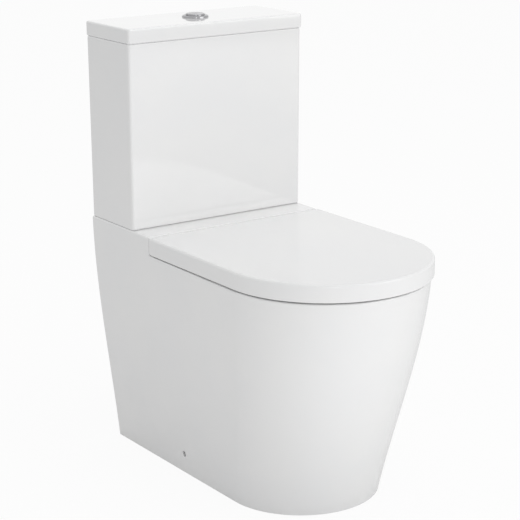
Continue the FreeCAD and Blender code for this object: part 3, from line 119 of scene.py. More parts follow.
def pick(kind, wanted):
    """In edit mode, select only the verts, edges or faces that the test wants."""
    mode = {"verts": "VERT", "edges": "EDGE", "faces": "FACE"}[kind]
    bpy.ops.mesh.select_all(action="DESELECT")
    bpy.ops.mesh.select_mode(type=mode)
    shape = bmesh.from_edit_mesh(bpy.context.edit_object.data)
    for item in getattr(shape, kind):
        if wanted(item):
            item.select_set(True)
    bmesh.update_edit_mesh(bpy.context.edit_object.data)


def lies_at(height):
    """A test for an edge or a face that lies wholly at this height."""
    return lambda item: all(near(point.co.z, height) for point in item.verts)


def move(x=0.0, y=0.0, z=0.0):
    bpy.ops.transform.translate(value=(x, y, z))


def grow(x, y, z, centre):
    bpy.ops.transform.resize(value=(x, y, z), center_override=centre)


def pull(x=0.0, y=0.0, z=0.0):
    """Extrude what is selected and move it."""
    bpy.ops.mesh.extrude_region_move(TRANSFORM_OT_translate={"value": (x, y, z)})


def close_up(piece):
    """Turn every face of the piece in hand outwards, and leave it."""
    bpy.ops.mesh.select_all(action="SELECT")
    bpy.ops.mesh.normals_make_consistent(inside=False)
    leave(piece)


def smooth_share(share, stops, values):
    """A smooth curve through these values at these stops."""
    total = 0.0
    for number, (stop, term) in enumerate(zip(stops, values)):
        for other, at in enumerate(stops):
            if other != number:
                term *= (share - at) / (stop - at)
        total += term
    return total


pan = drawn_circle("skirt", foot_half, (0, nose_y, 0), nose_sides)
pick("verts", lambda point: point.co.y > nose_y + 1e-4)
bpy.ops.mesh.delete(type="VERT")
pick("verts", lambda point: near(point.co.y, nose_y))
bpy.ops.mesh.extrude_vertices_move(TRANSFORM_OT_translate={"value": (0, wall_y - nose_y, 0)})

# The skirt rises level by level: each is wider and reaches further forward than the last.
levels = [rim_z * step / skirt_levels for step in range(1, skirt_levels + 1)]
levels += [(rim_z + ledge_z) / 2, ledge_z]
half, front, height = foot_half, nose_y, 0.0
bpy.ops.mesh.select_all(action="SELECT")
for level in levels:
    pull(z=level - height)
    swell = smooth_share(level / ledge_z, swell_stops, swell_shares)
    wider = foot_half + (top_half - foot_half) * swell
    ahead = wall_y - (foot_long + (top_long - foot_long) * swell) + wider
    grow(wider / half, 1, 1, (0, 0, level))
    pick("verts", lambda point: near(point.co.z, level) and point.co.y < front + 1e-4)
    grow(1, wider / half, 1, (0, front, level))
    move(y=ahead - front)
    half, front, height = wider, ahead, level
    pick("edges", lies_at(level))

# Ahead of the ledge it ends at the rim. The rim, the ledge's front and its top then close it.
pick("faces", lambda face: middle_of(face).z > rim_z)
bpy.ops.mesh.bisect(plane_co=(0, ledge_y, 0), plane_no=(0, 1, 0))
pick("faces", lambda face: middle_of(face).z > rim_z and middle_of(face).y < ledge_y)
bpy.ops.mesh.delete(type="FACE")
bpy.ops.mesh.select_all(action="SELECT")
bpy.ops.mesh.remove_doubles(threshold=1e-5)
for axis, place in (("z", rim_z), ("y", ledge_y), ("z", ledge_z)):
    pick("edges", lambda edge: edge.is_boundary
         and all(near(getattr(end.co, axis), place) for end in edge.verts))
    bpy.ops.mesh.edge_face_add()
close_up(pan)


def finish_with(piece, kind, **settings):
    """Add a modifier with these settings and apply it."""
    leave(piece)
    bpy.ops.object.modifier_add(type=kind)
    modifier = piece.modifiers[-1]
    for name, value in settings.items():
        setattr(modifier, name, value)
    bpy.ops.object.modifier_apply(modifier=modifier.name)


def outer_edge(edge):
    """Sharp edges of the rim and the ledge that a hand can reach."""
    ends = [point.co for point in edge.verts]
    level = lies_at(rim_z)(edge) or lies_at(ledge_z)(edge)
    upright = all(near(end.y, ledge_y) and end.z > rim_z - 1e-4 for end in ends)
    at_the_wall = all(near(end.y, wall_y) for end in ends)
    under_ledge = near(middle_of(edge).z, rim_z) and near(middle_of(edge).y, ledge_y)
    return (level or upright) and not (at_the_wall or under_ledge) and edge.calc_face_angle(0) > sharp_edge


finish_with(pan, "SOLIDIFY", thickness=china_wall, offset=-1, use_even_offset=True, use_rim=True)
edit(pan)
pick("edges", outer_edge)
bpy.ops.mesh.bevel(offset=china_round, segments=4, affect="EDGES")
leave(pan)

# The bowl is a second shell through level ovals, from its rounded mouth down to the sump.
mouth_half, mouth_long, mouth_back = 0.134, 0.165, 0.048
mouth_y = wall_y - top_long + mouth_back + mouth_long
sump_half, sump_long, sump_y, sump_z = 0.043, 0.052, -0.028, 0.122
sump_dip, dip_share = 0.003, 0.55
bowl_stops = (0.0, 0.2, 0.46, 0.74, 1.0)
narrowing_shares = (0.0, 0.08, 0.42, 0.84, 1.0)
setting_back_shares = (0.0, 0.02, 0.3, 0.8, 1.0)
bowl_wall, lip_round = 0.011, 0.007
bowl_steps, lip_steps = 22, 5


def oval_at(share, wall=0.0):
    """The bowl's half width, half length, centre and height at a share of its depth."""
    size = smooth_share(share, bowl_stops, narrowing_shares)
    shift = smooth_share(share, bowl_stops, setting_back_shares)
    half = mouth_half + (sump_half - mouth_half) * size + wall
    long = mouth_long + (sump_long - mouth_long) * size + wall
    return half, long, mouth_y + (sump_y - mouth_y) * shift, rim_z + (sump_z - wall - rim_z) * share


def pull_through(rings):
    """Extrude the selected outline through rings of half width, half length, middle and height."""
    half, long, y, z = rings[0]
    for ring in rings[1:]:
        pull(z=ring[3] - z)
        grow(ring[0] / half, ring[1] / long, 1, (0, y, ring[3]))
        move(y=ring[2] - y)
        half, long, y, z = ring


def stacked_ovals(name, rings):
    """A closed solid through level ovals."""
    half, long, y, z = rings[0]
    solid = drawn_circle(name, 1, (0, y, z), nose_sides, filled=True)
    grow(half, long, 1, (0, y, z))
    pull_through(rings)
    close_up(solid)
    return solid


def rounding(width, steps):
    """Pairs of outward and downward offsets along a quarter round, from its outside in."""
    turns = [math.pi / 2 * step / steps for step in range(steps + 1)]
    return [(width * (1 - math.sin(turn)), width * (1 - math.cos(turn))) for turn in turns]


shares = [step / bowl_steps for step in range(1, bowl_steps + 1)]
hidden = (mouth_half + bowl_wall, mouth_long + bowl_wall, mouth_y, rim_z - china_wall / 2)
bowl_outside = stacked_ovals("bowl_outside", [hidden] + [oval_at(share, bowl_wall) for share in shares])
lip = [(mouth_half + lip_round, mouth_long + lip_round, mouth_y, rim_z + 2 * overrun)]
lip += [(mouth_half + out, mouth_long + out, mouth_y, rim_z - down)
        for out, down in rounding(lip_round, lip_steps)]
dip = (dip_share * sump_half, dip_share * sump_long, sump_y, sump_z - sump_dip)
bowl_core = stacked_ovals("bowl_core", lip + [oval_at(share) for share in shares] + [dip])

# Behind the bowl are the trapway to the outlet's spigot, and the channel that brings the flush
# from the shaft under the cistern's valve. A round boss under the ledge carries that valve.
outlet_y, outlet_z = 0.2975, 0.18
trap_corners = [(0, -0.03, 0.158), (0, 0.07, 0.128), (0, 0.14, 0.3), (0, 0.215, outlet_z),
                (0, outlet_y, outlet_z)]
trap_bends, bend_steps = [0.05, 0.048, 0.06], 10
trap_bore, trap_outer = 0.036, 0.046
spigot_round, spigot_long = 0.051, 0.05
valve_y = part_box("flush_valve_base")[0].y / 2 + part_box("flush_valve_base")[1].y / 2
channel_z, channel_bore, channel_outer = 0.359, 0.019, 0.027
channel_front = mouth_y + mouth_long - bowl_wall
shaft_bore, shaft_outer, shaft_foot, shaft_floor = 0.034, 0.042, 0.324, 0.008
boss_round, boss_foot, boss_lap = 0.061, 0.401, 0.005
washer_round, washer_foot = 0.051, 0.411
screw_hole = 0.0055


def smooth_pipe(name, corners, bends, radius, sides=48):
    """A closed round bar along straight runs, with its bends spun."""
    corners = [Vector(corner) for corner in corners]
    first = (corners[1] - corners[0]).normalized()
    turn = Vector((0, 0, 1)).rotation_difference(first).to_euler()
    bar = drawn_circle(name, radius, corners[0], sides, filled=True, turn=turn)
    here = corners[0]
    for before, corner, after, bend in zip(corners, corners[1:], corners[2:], bends):
        arriving = (corner - before).normalized()
        leaving = (after - corner).normalized()
        angle = arriving.angle(leaving)
        reach = bend * math.tan(angle / 2)
        start = corner - arriving * reach
        pull(*(start - here))
        axis = arriving.cross(leaving).normalized()
        centre = start + axis.cross(arriving) * bend
        bpy.ops.mesh.spin(steps=bend_steps, angle=-angle, center=centre, axis=axis)
        here = corner + leaving * reach
    pull(*(corners[-1] - here))
    bpy.ops.mesh.select_all(action="SELECT")
    bpy.ops.mesh.remove_doubles(threshold=1e-6)
    close_up(bar)
    return bar


def round_bar(name, radius, start, end, sides=48):
    """A closed bar between two points, from a cylinder."""
    start, end = Vector(start), Vector(end)
    along = end - start
    turn = Vector((0, 0, 1)).rotation_difference(along).to_euler()
    bpy.ops.mesh.primitive_cylinder_add(vertices=sides, radius=radius, depth=along.length,
                                        location=(start + end) / 2, rotation=turn)
    bar = bpy.context.object
    bar.name = name
    settle()
    return bar


def upright_bar(name, radius, x, y, foot, top):
    return round_bar(name, radius, (x, y, foot), (x, y, top))


def brick(name, low, high):
    """A box between two corners, from a cube."""
    low, high = Vector(low), Vector(high)
    bpy.ops.mesh.primitive_cube_add(size=1, location=(low + high) / 2)
    box = bpy.context.object
    box.name = name
    box.scale = high - low
    settle()
    return box


def use_up(piece, operation, tools):
    """Cut these tools out of a piece, or weld them on, and throw them away."""
    for tool in tools:
        finish_with(piece, "BOOLEAN", operation=operation, object=tool, solver="EXACT")
    for tool in tools:
        bpy.data.objects.remove(tool)


def cut(piece, *tools):
    use_up(piece, "DIFFERENCE", tools)


def weld_on(piece, *tools):
    use_up(piece, "UNION", tools)


def polish(piece, name, angle=35):
    """Name a finished piece, put its place into its mesh and give it smooth shading."""
    leave(piece)
    piece.name = name
    piece.data.name = name
    settle()
    bpy.ops.object.shade_smooth_by_angle(angle=math.radians(angle))
    finish_with(piece, "WEIGHTED_NORMAL", keep_sharp=True, weight=50)


weld_on(
    pan,
    bowl_outside,
    smooth_pipe("trap_outside", trap_corners, trap_bends, trap_outer),
    round_bar("spigot", spigot_round, (0, outlet_y - spigot_long, outlet_z), trap_corners[-1]),
    round_bar("channel", channel_outer, (0, channel_front, channel_z), (0, valve_y, channel_z)),
    upright_bar("shaft", shaft_outer, 0, valve_y, shaft_foot, boss_foot + boss_lap),
    upright_bar("boss", boss_round, 0, valve_y, boss_foot, ledge_z - china_wall / 2),
)
trap_corners[-1] = (0, outlet_y + overrun, outlet_z)
cap_low, cap_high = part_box("side_screw_caps")
screw_y, screw_z = (cap_low.y + cap_high.y) / 2, (cap_low.z + cap_high.z) / 2
cut(
    pan,
    bowl_core,
    smooth_pipe("trap_inside", trap_corners, trap_bends, trap_bore),
    round_bar("channel_inside", channel_bore, (0, channel_front, channel_z), (0, valve_y, channel_z)),
    upright_bar("shaft_inside", shaft_bore, 0, valve_y, shaft_foot + shaft_floor, ledge_z + overrun),
    upright_bar("washer_recess", washer_round, 0, valve_y, washer_foot, ledge_z + overrun),
    round_bar("screw_holes", screw_hole, (-top_half - overrun, screw_y, screw_z),
              (top_half + overrun, screw_y, screw_z)),
)

# Two notches in the ledge's rear edge let the water hose up to the cistern on either side.
inlet_nut_half = 0.017
notch_half, notch_deep, notch_down, notch_corner = 0.027, 0.096, 0.02, 0.013
inlet_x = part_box("fill_valve_nut")[0].x + inlet_nut_half
for side in (-1, 1):
    notch = brick("notch", (side * inlet_x - notch_half, wall_y - notch_deep, ledge_z - notch_down),
                  (side * inlet_x + notch_half, wall_y + overrun, ledge_z + overrun))
    edit(notch)
    pick("edges", lambda edge: near(middle_of(edge).y, wall_y - notch_deep)
         and near(middle_of(edge).z, ledge_z + (overrun - notch_down) / 2))
    bpy.ops.mesh.bevel(offset=notch_corner, segments=6, affect="EDGES")
    cut(pan, notch)
polish(pan, "china_pan", 32)
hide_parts("pan")
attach(pan, "root")


def new_material(name, colour, roughness, metallic=0.0):
    """A new material whose shader has these plain values. It returns its nodes and links too."""
    made = bpy.data.materials.new(name)
    made.use_nodes = True
    nodes, links = made.node_tree.nodes, made.node_tree.links
    shader = nodes["Principled BSDF"]
    shader.inputs["Base Color"].default_value = (*colour, 1)
    shader.inputs["Roughness"].default_value = roughness
    shader.inputs["Metallic"].default_value = metallic
    return made, nodes, links, shader


def noise_on(nodes, links, place, scale, detail):
    """Noise on the piece's own coordinates."""
    noise = nodes.new("ShaderNodeTexNoise")
    noise.inputs["Scale"].default_value = scale
    noise.inputs["Detail"].default_value = detail
    links.new(place.outputs["Object"], noise.inputs["Vector"])
    return noise


def make_wavy(nodes, links, shader, scale, strength, distance):
    """A gentle unevenness of the surface. It returns the coordinates that it reads."""
    place = nodes.new("ShaderNodeTexCoord")
    noise = noise_on(nodes, links, place, scale, 2.0)
    bump = nodes.new("ShaderNodeBump")
    bump.inputs["Strength"].default_value = strength
    bump.inputs["Distance"].default_value = distance
    links.new(noise.outputs["Fac"], bump.inputs["Height"])
    links.new(bump.outputs["Normal"], shader.inputs["Normal"])
    return place


def vary_roughness(nodes, links, shader, place, scale, low, high):
    """Let the roughness drift between two limits over the surface."""
    noise = noise_on(nodes, links, place, scale, 4.0)
    span = nodes.new("ShaderNodeMapRange")
    span.inputs["To Min"].default_value = low
    span.inputs["To Max"].default_value = high
    links.new(noise.outputs["Fac"], span.inputs["Value"])
    links.new(span.outputs["Result"], shader.inputs["Roughness"])


def vary_colour(nodes, links, shader, place, scale, first, second):
    """Let the colour drift between two close shades over the surface."""
    noise = noise_on(nodes, links, place, scale, 3.0)
    ramp = nodes.new("ShaderNodeValToRGB")
    ramp.color_ramp.elements[0].position = 0.35
    ramp.color_ramp.elements[1].position = 0.65
    ramp.color_ramp.elements[0].color = (*first, 1)
    ramp.color_ramp.elements[1].color = (*second, 1)
    links.new(noise.outputs["Fac"], ramp.inputs["Fac"])
    links.new(ramp.outputs["Color"], shader.inputs["Base Color"])


def paint(piece, finish):
    """Give a piece this material alone."""
    piece.data.materials.clear()
    piece.data.materials.append(finish)


glaze, nodes, links, shader = new_material("white_glaze", (0.84, 0.84, 0.84), 0.07)
shader.inputs["Coat Weight"].default_value = 0.8
shader.inputs["Coat Roughness"].default_value = 0.03
place = make_wavy(nodes, links, shader, 14, 0.12, 0.0006)
vary_roughness(nodes, links, shader, place, 40, 0.05, 0.10)
vary_colour(nodes, links, shader, place, 9, (0.835, 0.837, 0.84), (0.85, 0.85, 0.848))
paint(pan, glaze)

# The cistern is a china tank, open at the top and a little wider there. Its floor has holes for
# the flush valve's tail, the inlet and the two bolts that hold it to the pan.
tank_low, tank_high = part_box("cistern")
tank_wall, tank_floor = 0.009, 0.012
tank_corner, tank_inner_corner, tank_round = 0.005, 0.006, 0.003
tank_splay_front, tank_splay_side = 0.0035, 0.0012
tail_hole, inlet_hole, bolt_hole = 0.0313, 0.0113, 0.005
tank_y, bolt_x = 0.252, 0.09
tank_sharp_edge = math.radians(35)


def upright_corner(half, front, rear):
    """A test for the upright edges where these faces meet."""
    def wanted(edge):
        middle = middle_of(edge)
        return near(abs(middle.x), half) and (near(middle.y, front) or near(middle.y, rear))
    return wanted


tank = brick("tank", tank_low, tank_high)
edit(tank)
pick("faces", lambda face: face.normal.z > 0.9)
bpy.ops.mesh.inset(thickness=tank_wall)
pull(z=tank_floor - (tank_high.z - tank_low.z))
pick("edges", upright_corner(tank_high.x, tank_low.y, tank_high.y))
bpy.ops.mesh.bevel(offset=tank_corner, segments=5, affect="EDGES")
pick("edges", upright_corner(tank_high.x - tank_wall, tank_low.y + tank_wall, tank_high.y - tank_wall))
bpy.ops.mesh.bevel(offset=tank_inner_corner, segments=4, affect="EDGES")
pick("verts", lambda point: near(point.co.z, tank_high.z) and point.co.y < tank_low.y + tank_wall / 2)
move(y=-tank_splay_front)
for side in (-1, 1):
    pick("verts", lambda point: near(point.co.z, tank_high.z)
         and side * point.co.x > tank_high.x - tank_wall / 2)
    move(x=side * tank_splay_side)
finish_with(tank, "BEVEL", width=tank_round, segments=4, limit_method="ANGLE",
            angle_limit=tank_sharp_edge, use_clamp_overlap=True)
for radius, x, y in ((tail_hole, 0, valve_y), (inlet_hole, inlet_x, tank_y),
                     (bolt_hole, -bolt_x, tank_y), (bolt_hole, bolt_x, tank_y)):
    cut(tank, upright_bar("hole", radius, x, y, tank_low.z - overrun, tank_low.z + tank_floor + overrun))
polish(tank, "china_cistern")
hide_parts("cistern")
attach(tank, "root")
paint(tank, glaze)

# The cistern's lid is loose china. Its underside is hollow, with a lip that finds the tank's mouth
# and a round hole for the button's collar.
cover_low, cover_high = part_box("cistern_lid")
cover_foot = tank_high.z
cover_corner, cover_round, cover_wall = 0.005, 0.003, 0.012
hollow_side, hollow_front, hollow_rear = 0.016, 0.019, 0.016
lip_gap, lip_wall, lip_corner, lip_weld = 0.003, 0.005, 0.006, 0.001
collar_hole = 0.0193


def box_in_tank(name, inset, foot, top):
    """An upright box this far inside the tank's inner faces."""
    inset += tank_wall
    return brick(name, (tank_low.x + inset, tank_low.y + inset, foot),
                 (tank_high.x - inset, tank_high.y - inset, top))


cover = brick("cover", (cover_low.x, cover_low.y, cover_foot), cover_high)
edit(cover)
pick("edges", lambda edge: near(middle_of(edge).z, (cover_foot + cover_high.z) / 2))
bpy.ops.mesh.bevel(offset=cover_corner, segments=5, affect="EDGES")
pick("edges", lambda edge: near(middle_of(edge).z, cover_high.z) or near(middle_of(edge).z, cover_foot))
bpy.ops.mesh.bevel(offset=cover_round, segments=4, affect="EDGES")
leave(cover)
hollow_top = cover_high.z - cover_wall
cut(cover, brick("hollow", (cover_low.x + hollow_side, cover_low.y + hollow_front, cover_foot - overrun),
                 (cover_high.x - hollow_side, cover_high.y - hollow_rear, hollow_top)))
lip = box_in_tank("lip", lip_gap, cover_low.z, hollow_top + lip_weld)
edit(lip)
pick("edges", lambda edge: near(middle_of(edge).z, (cover_low.z + hollow_top + lip_weld) / 2))
bpy.ops.mesh.bevel(offset=lip_corner, segments=4, affect="EDGES")
leave(lip)
cut(lip, box_in_tank("room", lip_gap + lip_wall, cover_low.z - overrun, hollow_top))
weld_on(cover, lip)
cut(cover, upright_bar("collar_hole", collar_hole, 0, valve_y, cover_foot, cover_high.z + overrun))
polish(cover, "china_cistern_lid")
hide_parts("cistern_lid")
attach(cover, "cistern_lid")
paint(cover, glaze)

# A chromed collar in the lid's hole guides the two halves of the round flush button. Its floor
# has a hole for each half's push rod.
collar_low, collar_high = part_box("button_bezel")
collar_bore, collar_shank, collar_flange = 0.0175, 0.019, 0.024
collar_floor, rod_hole, rod_off = 0.002, 0.0028, 0.012


def turned(name, profile, middle, sides=64):
    """A piece turned about an upright axis from a profile of radii and heights, closed or capped."""
    x, y = middle
    piece = drawn_circle(name, profile[0][0], (x, y, profile[0][1]), sides)
    pull_through([(radius, radius, y, height) for radius, height in profile])
    if profile[0] == profile[-1]:
        bpy.ops.mesh.select_all(action="SELECT")
        bpy.ops.mesh.remove_doubles(threshold=1e-6)
    else:
        for end in (0, -1):
            pick("edges", lambda edge: edge.is_boundary and near(middle_of(edge).z, profile[end][1]))
            bpy.ops.mesh.edge_face_add()
    close_up(piece)
    return piece


collar = turned("collar", [
    (collar_bore, collar_low.z + collar_floor), (collar_bore, collar_high.z - 0.0008),
    (collar_bore + 0.0008, collar_high.z), (collar_flange - 0.0025, collar_high.z),
    (collar_flange - 0.0005, collar_high.z - 0.0012), (collar_flange, cover_high.z + 0.0006),
    (collar_flange - 0.0002, cover_high.z), (collar_shank, cover_high.z), (collar_shank, collar_low.z),
    (collar_bore, collar_low.z), (collar_bore, collar_low.z + collar_floor)], (0, valve_y), 96)
weld_on(collar, turned("floor_of_collar", [
    (collar_bore + 0.0003, collar_low.z), (collar_bore + 0.0003, collar_low.z + collar_floor)], (0, valve_y)))
for off in (-rod_off, rod_off):
    cut(collar, upright_bar("rod_hole", rod_hole, 0, valve_y + off, collar_low.z - overrun,
                            collar_low.z + overrun))
polish(collar, "chrome_collar")
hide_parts("button_bezel")
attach(collar, "cistern_lid")

# The chrome's colour is set darker than real chrome: painted shade standing in for dark reflections of the
# room around it.
chrome, nodes, links, shader = new_material("chrome_darkened_as_painted_reflection", (0.36, 0.36, 0.37), 0.12, 1.0)
place = make_wavy(nodes, links, shader, 60, 0.05, 0.0002)
vary_roughness(nodes, links, shader, place, 300, 0.08, 0.2)
paint(collar, chrome)

# Each half of the button is half of a chromed disc, slightly dished, with a fine split between.
# It slides down in the collar by itself.
button_round, split_half, split_round = 0.0172, 0.0005, 0.0005
for name, node, side in (("full", "full_flush_button", 1), ("half", "half_flush_button", -1)):
    low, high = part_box(node)
    disc = turned(f"{name}_disc", [
        (button_round, low.z), (button_round, high.z - 0.0016), (button_round - 0.0003, high.z - 0.0008),
        (button_round - 0.001, high.z - 0.0002), (button_round - 0.0022, high.z),
        (button_round - 0.0037, high.z - 0.0001), (0.010, high.z - 0.0004), (0.004, high.z - 0.0006)],
        (0, valve_y), 96)
    split_y = valve_y + side * split_half
    edit(disc)
    bpy.ops.mesh.select_all(action="SELECT")
    bpy.ops.mesh.bisect(plane_co=(0, split_y, 0), plane_no=(0, side, 0), use_fill=True, clear_inner=True)
    pick("edges", lambda edge: all(near(point.co.y, split_y) for point in edge.verts)
         and middle_of(edge).z > high.z - 0.0015)
    bpy.ops.mesh.bevel(offset=split_round, segments=2, affect="EDGES")
    polish(disc, f"chrome_{name}_button")
    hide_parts(node)
    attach(disc, f"{name}_button")
    paint(disc, chrome)

# A coil spring under each half brings it back up. It is drawn steel wire and stands on the
# collar's floor.
wire, wire_sides, coil_turns, coil_steps = 0.0005, 10, 7, 28
steel, nodes, links, shader = new_material("drawn_steel", (0.5, 0.5, 0.51), 0.3, 1.0)
place = make_wavy(nodes, links, shader, 400, 0.15, 0.0002)
vary_roughness(nodes, links, shader, place, 200, 0.22, 0.42)
for name in ("full", "half"):
    low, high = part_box(f"{name}_button_spring")
    coil = drawn_circle("coil", wire, (high.x - wire, 0, 0), wire_sides, turn=(math.pi / 2, 0, 0))
    finish_with(coil, "SCREW", axis="Z", iterations=coil_turns, steps=coil_steps, render_steps=coil_steps,
                screw_offset=(high.z - low.z - 2 * wire) / coil_turns, use_merge_vertices=False)
    coil.location = (0, (low.y + high.y) / 2, low.z + wire)
    settle()
    edit(coil)
    for end in (low.z + wire, high.z - wire):
        pick("edges", lambda edge: edge.is_boundary and near(middle_of(edge).z, end, 2 * wire))
        bpy.ops.mesh.edge_face_add()
    close_up(coil)
    polish(coil, f"steel_{name}_spring", 60)
    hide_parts(f"{name}_button_spring")
    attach(coil, "cistern_lid")
    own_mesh(coil)
    paint(coil, steel)

# The seat's lid is one thick white moulding that wraps down over the ring. Its rear wall is low
# and bevelled underneath, where it turns down as the lid opens.
lid_half = seat_high.x
lid_nose, lid_rear = seat_low.y + lid_half, seat_high.y
lid_lift = 0.001
lid_foot = seat_low.z + lid_lift
lid_skin, lid_corner, lid_round, lid_foot_round = 0.0045, 0.005, 0.0042, 0.0021
lid_inner_corner, lid_inner_round = 0.002, 0.0015
heel_slant, rear_wall_high = 0.00672, 0.015
hinge_y, hinge_z = 0.111, 0.425


def seat_plan(name, half, nose, rear, corner, foot, top, sides=128):
    """A flat solid in edit mode: half-round front, straight sides and rounded rear corners."""
    plan = drawn_circle(name, half, (0, nose, foot), sides)
    pick("verts", lambda point: point.co.y > nose + 1e-5)
    bpy.ops.mesh.delete(type="VERT")
    pick("verts", lambda point: near(point.co.y, nose, 1e-5))
    bpy.ops.mesh.extrude_vertices_move(TRANSFORM_OT_translate={"value": (0, rear - nose, 0)})
    bpy.ops.mesh.edge_face_add()
    pick("verts", lambda point: near(point.co.y, rear, 1e-5))
    bpy.ops.mesh.bevel(offset=corner, segments=6, affect="VERTICES")
    bpy.ops.mesh.select_all(action="SELECT")
    bpy.ops.mesh.edge_face_add()
    bpy.ops.mesh.select_all(action="SELECT")
    pull(z=top - foot)
    return plan


def round_level_edges(height, width, segments):
    pick("edges", lies_at(height))
    bpy.ops.mesh.bevel(offset=width, segments=segments, affect="EDGES")


lid = seat_plan("lid", lid_half, lid_nose, lid_rear, lid_corner, lid_foot, seat_high.z)
round_level_edges(seat_high.z, lid_round, 6)
round_level_edges(lid_foot, lid_foot_round, 4)
close_up(lid)
hollow = seat_plan("hollow", lid_half - lid_skin, lid_nose, lid_rear - lid_skin, lid_inner_corner,
                   seat_low.z - overrun, seat_high.z - lid_skin)
round_level_edges(seat_high.z - lid_skin, lid_inner_round, 3)
close_up(hollow)
cut(lid, hollow)
heel = brick("heel", (-lid_half - overrun, -heel_slant, -2 * overrun),
             (lid_half + overrun, 2 * overrun, 2 * overrun))
heel.rotation_euler = (math.radians(-45), 0, 0)
heel.location = (0, lid_rear, seat_low.z)
settle()
cut(lid, heel)
cut(lid, brick("below", (lid_skin - lid_half, lid_rear - 2 * lid_skin, seat_low.z - overrun),
               (lid_half - lid_skin, lid_rear + overrun, seat_high.z - rear_wall_high)))

# Two hinge posts come up through notches in that wall. Beside each post a lug turns on the
# steel pin, and another holds the far end of the soft-close damper.
post_x, post_half, post_notch_half, post_notch_skin = 0.0775, 0.0075, 0.006, 0.0025
lug_long, damper_long, slip = 0.008, 0.038, 0.0003
barrel, pin, pin_gap = 0.005, 0.003, 0.00005


def hinge_bar(name, radius, start, end):
    """A bar along the hinge's line, between two places across the seat."""
    return round_bar(name, radius, (start, hinge_y, hinge_z), (end, hinge_y, hinge_z))


def bore_lug(piece, side, low):
    """Open a lug that begins this far out for the pin."""
    cut(piece, hinge_bar("bore", pin + pin_gap, side * (low - slip), side * (low + lug_long + slip)))


for side in (-1, 1):
    cut(lid, brick("post_notch", (side * post_x - post_notch_half, hinge_y, seat_low.z - overrun),
                   (side * post_x + post_notch_half, lid_rear + overrun, seat_high.z - post_notch_skin)))
for side in (-1, 1):
    start = post_x + post_half + slip
    for low in (start, start + lug_long + damper_long):
        ends = sorted((side * low, side * (low + lug_long)))
        weld_on(lid, hinge_bar("lug", barrel, side * low, side * (low + lug_long)))
        weld_on(lid, brick("rib", (ends[0], hinge_y - barrel, hinge_z),
                           (ends[1], hinge_y + barrel, seat_high.z - lid_skin / 2)))
        bore_lug(lid, side, low)
polish(lid, "moulded_seat_lid", 30)
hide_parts("seat_lid")
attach(lid, "seat_lid")

seat_white, nodes, links, shader = new_material("seat_plastic_white", (0.83, 0.83, 0.83), 0.14)
shader.inputs["Coat Weight"].default_value = 0.25
shader.inputs["Coat Roughness"].default_value = 0.08
place = make_wavy(nodes, links, shader, 35, 0.05, 0.0004)
vary_roughness(nodes, links, shader, place, 90, 0.11, 0.19)
vary_colour(nodes, links, shader, place, 6, (0.825, 0.827, 0.83), (0.84, 0.84, 0.837))
paint(lid, seat_white)

# The ring is the same moulding: flat underneath, rounded on top, more so towards its opening,
# with an arm and a lug inside each hinge post.
ring_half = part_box("seat_ring")[1].x
ring_foot, ring_top, ring_corner = 0.406, 0.426, 0.014
ring_rear_gap, ring_round, ring_foot_round = 0.008, 0.006, 0.002
ring_rear = hinge_y - ring_rear_gap
arm_deep, arm_top_gap = 0.008, 0.002
hole_round, hole_y, hole_straight = 0.11, -0.1405, 0.066
hole_flare, hole_foot_flare, flare_steps = 0.008, 0.0015, 7
ring = seat_plan("ring", ring_half, lid_nose, ring_rear, ring_corner, ring_foot, ring_top)
round_level_edges(ring_top, ring_round, 6)
round_level_edges(ring_foot, ring_foot_round, 3)
close_up(ring)

# The long opening is cut with a core that flares to a wide round at the top.
opening = drawn_circle("opening", hole_round, (0, hole_y, ring_top + overrun), 96, filled=True)
pick("verts", lambda point: point.co.y > hole_y + 1e-4)
move(y=hole_straight)
opening_y, opening_long = hole_y + hole_straight / 2, hole_round + hole_straight / 2
bpy.ops.mesh.select_all(action="SELECT")
grow(1 + hole_flare / hole_round, 1 + hole_flare / opening_long, 1, (0, opening_y, ring_top + overrun))
flare = [(hole_flare, ring_top + overrun)]
flare += [(out, ring_top - down) for out, down in rounding(hole_flare, flare_steps)]
flare += [(0, ring_foot + 0.0015), (0.0004, ring_foot + 0.0004), (hole_foot_flare, ring_foot - 0.0001),
          (hole_foot_flare, ring_foot - overrun)]
pull_through([(hole_round + out, opening_long + out, opening_y, level) for out, level in flare])
close_up(opening)
cut(ring, opening)
for side in (-1, 1):
    low = post_x - post_half - slip - lug_long
    ends = sorted((side * low, side * (low + lug_long)))
    weld_on(ring, hinge_bar("lug", barrel, side * low, side * (low + lug_long)))
    weld_on(ring, brick("arm", (ends[0], ring_rear - arm_deep, hinge_z - barrel),
                        (ends[1], hinge_y, ring_top - arm_top_gap)))
    bore_lug(ring, side, low)
polish(ring, "moulded_seat_ring", 30)
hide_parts("seat_ring")
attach(ring, "seat_ring")
paint(ring, seat_white)

# Caps close the two side holes low on the skirt: white plastic discs with a soft edge, each pushed
# a little way into its hole.
cap_round, cap_thick, cap_sunk = 0.0040, 0.002, 0.004
caps = []
for side in (-1, 1):
    cap = turned("cap", [(cap_round, 0), (cap_round, 0.0012), (cap_round - 0.0003, 0.0017),
                         (cap_round - 0.001, cap_thick), (cap_round - 0.003, cap_thick)], (0, 0), 40)
    cap.rotation_euler = (0, side * math.pi / 2, 0)
    cap.location = (side * (cap_high.x - cap_sunk), screw_y, screw_z)
    settle()
    caps.append(cap)
caps[0].select_set(True)
bpy.ops.object.join()
cap = bpy.context.object
polish(cap, "plastic_side_caps")
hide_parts("side_screw_caps")
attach(cap, "root")

white_plastic, nodes, links, shader = new_material("satin_white_plastic", (0.72, 0.72, 0.71), 0.42)
place = make_wavy(nodes, links, shader, 900, 0.08, 0.0002)
vary_roughness(nodes, links, shader, place, 60, 0.36, 0.5)
paint(cap, white_plastic)

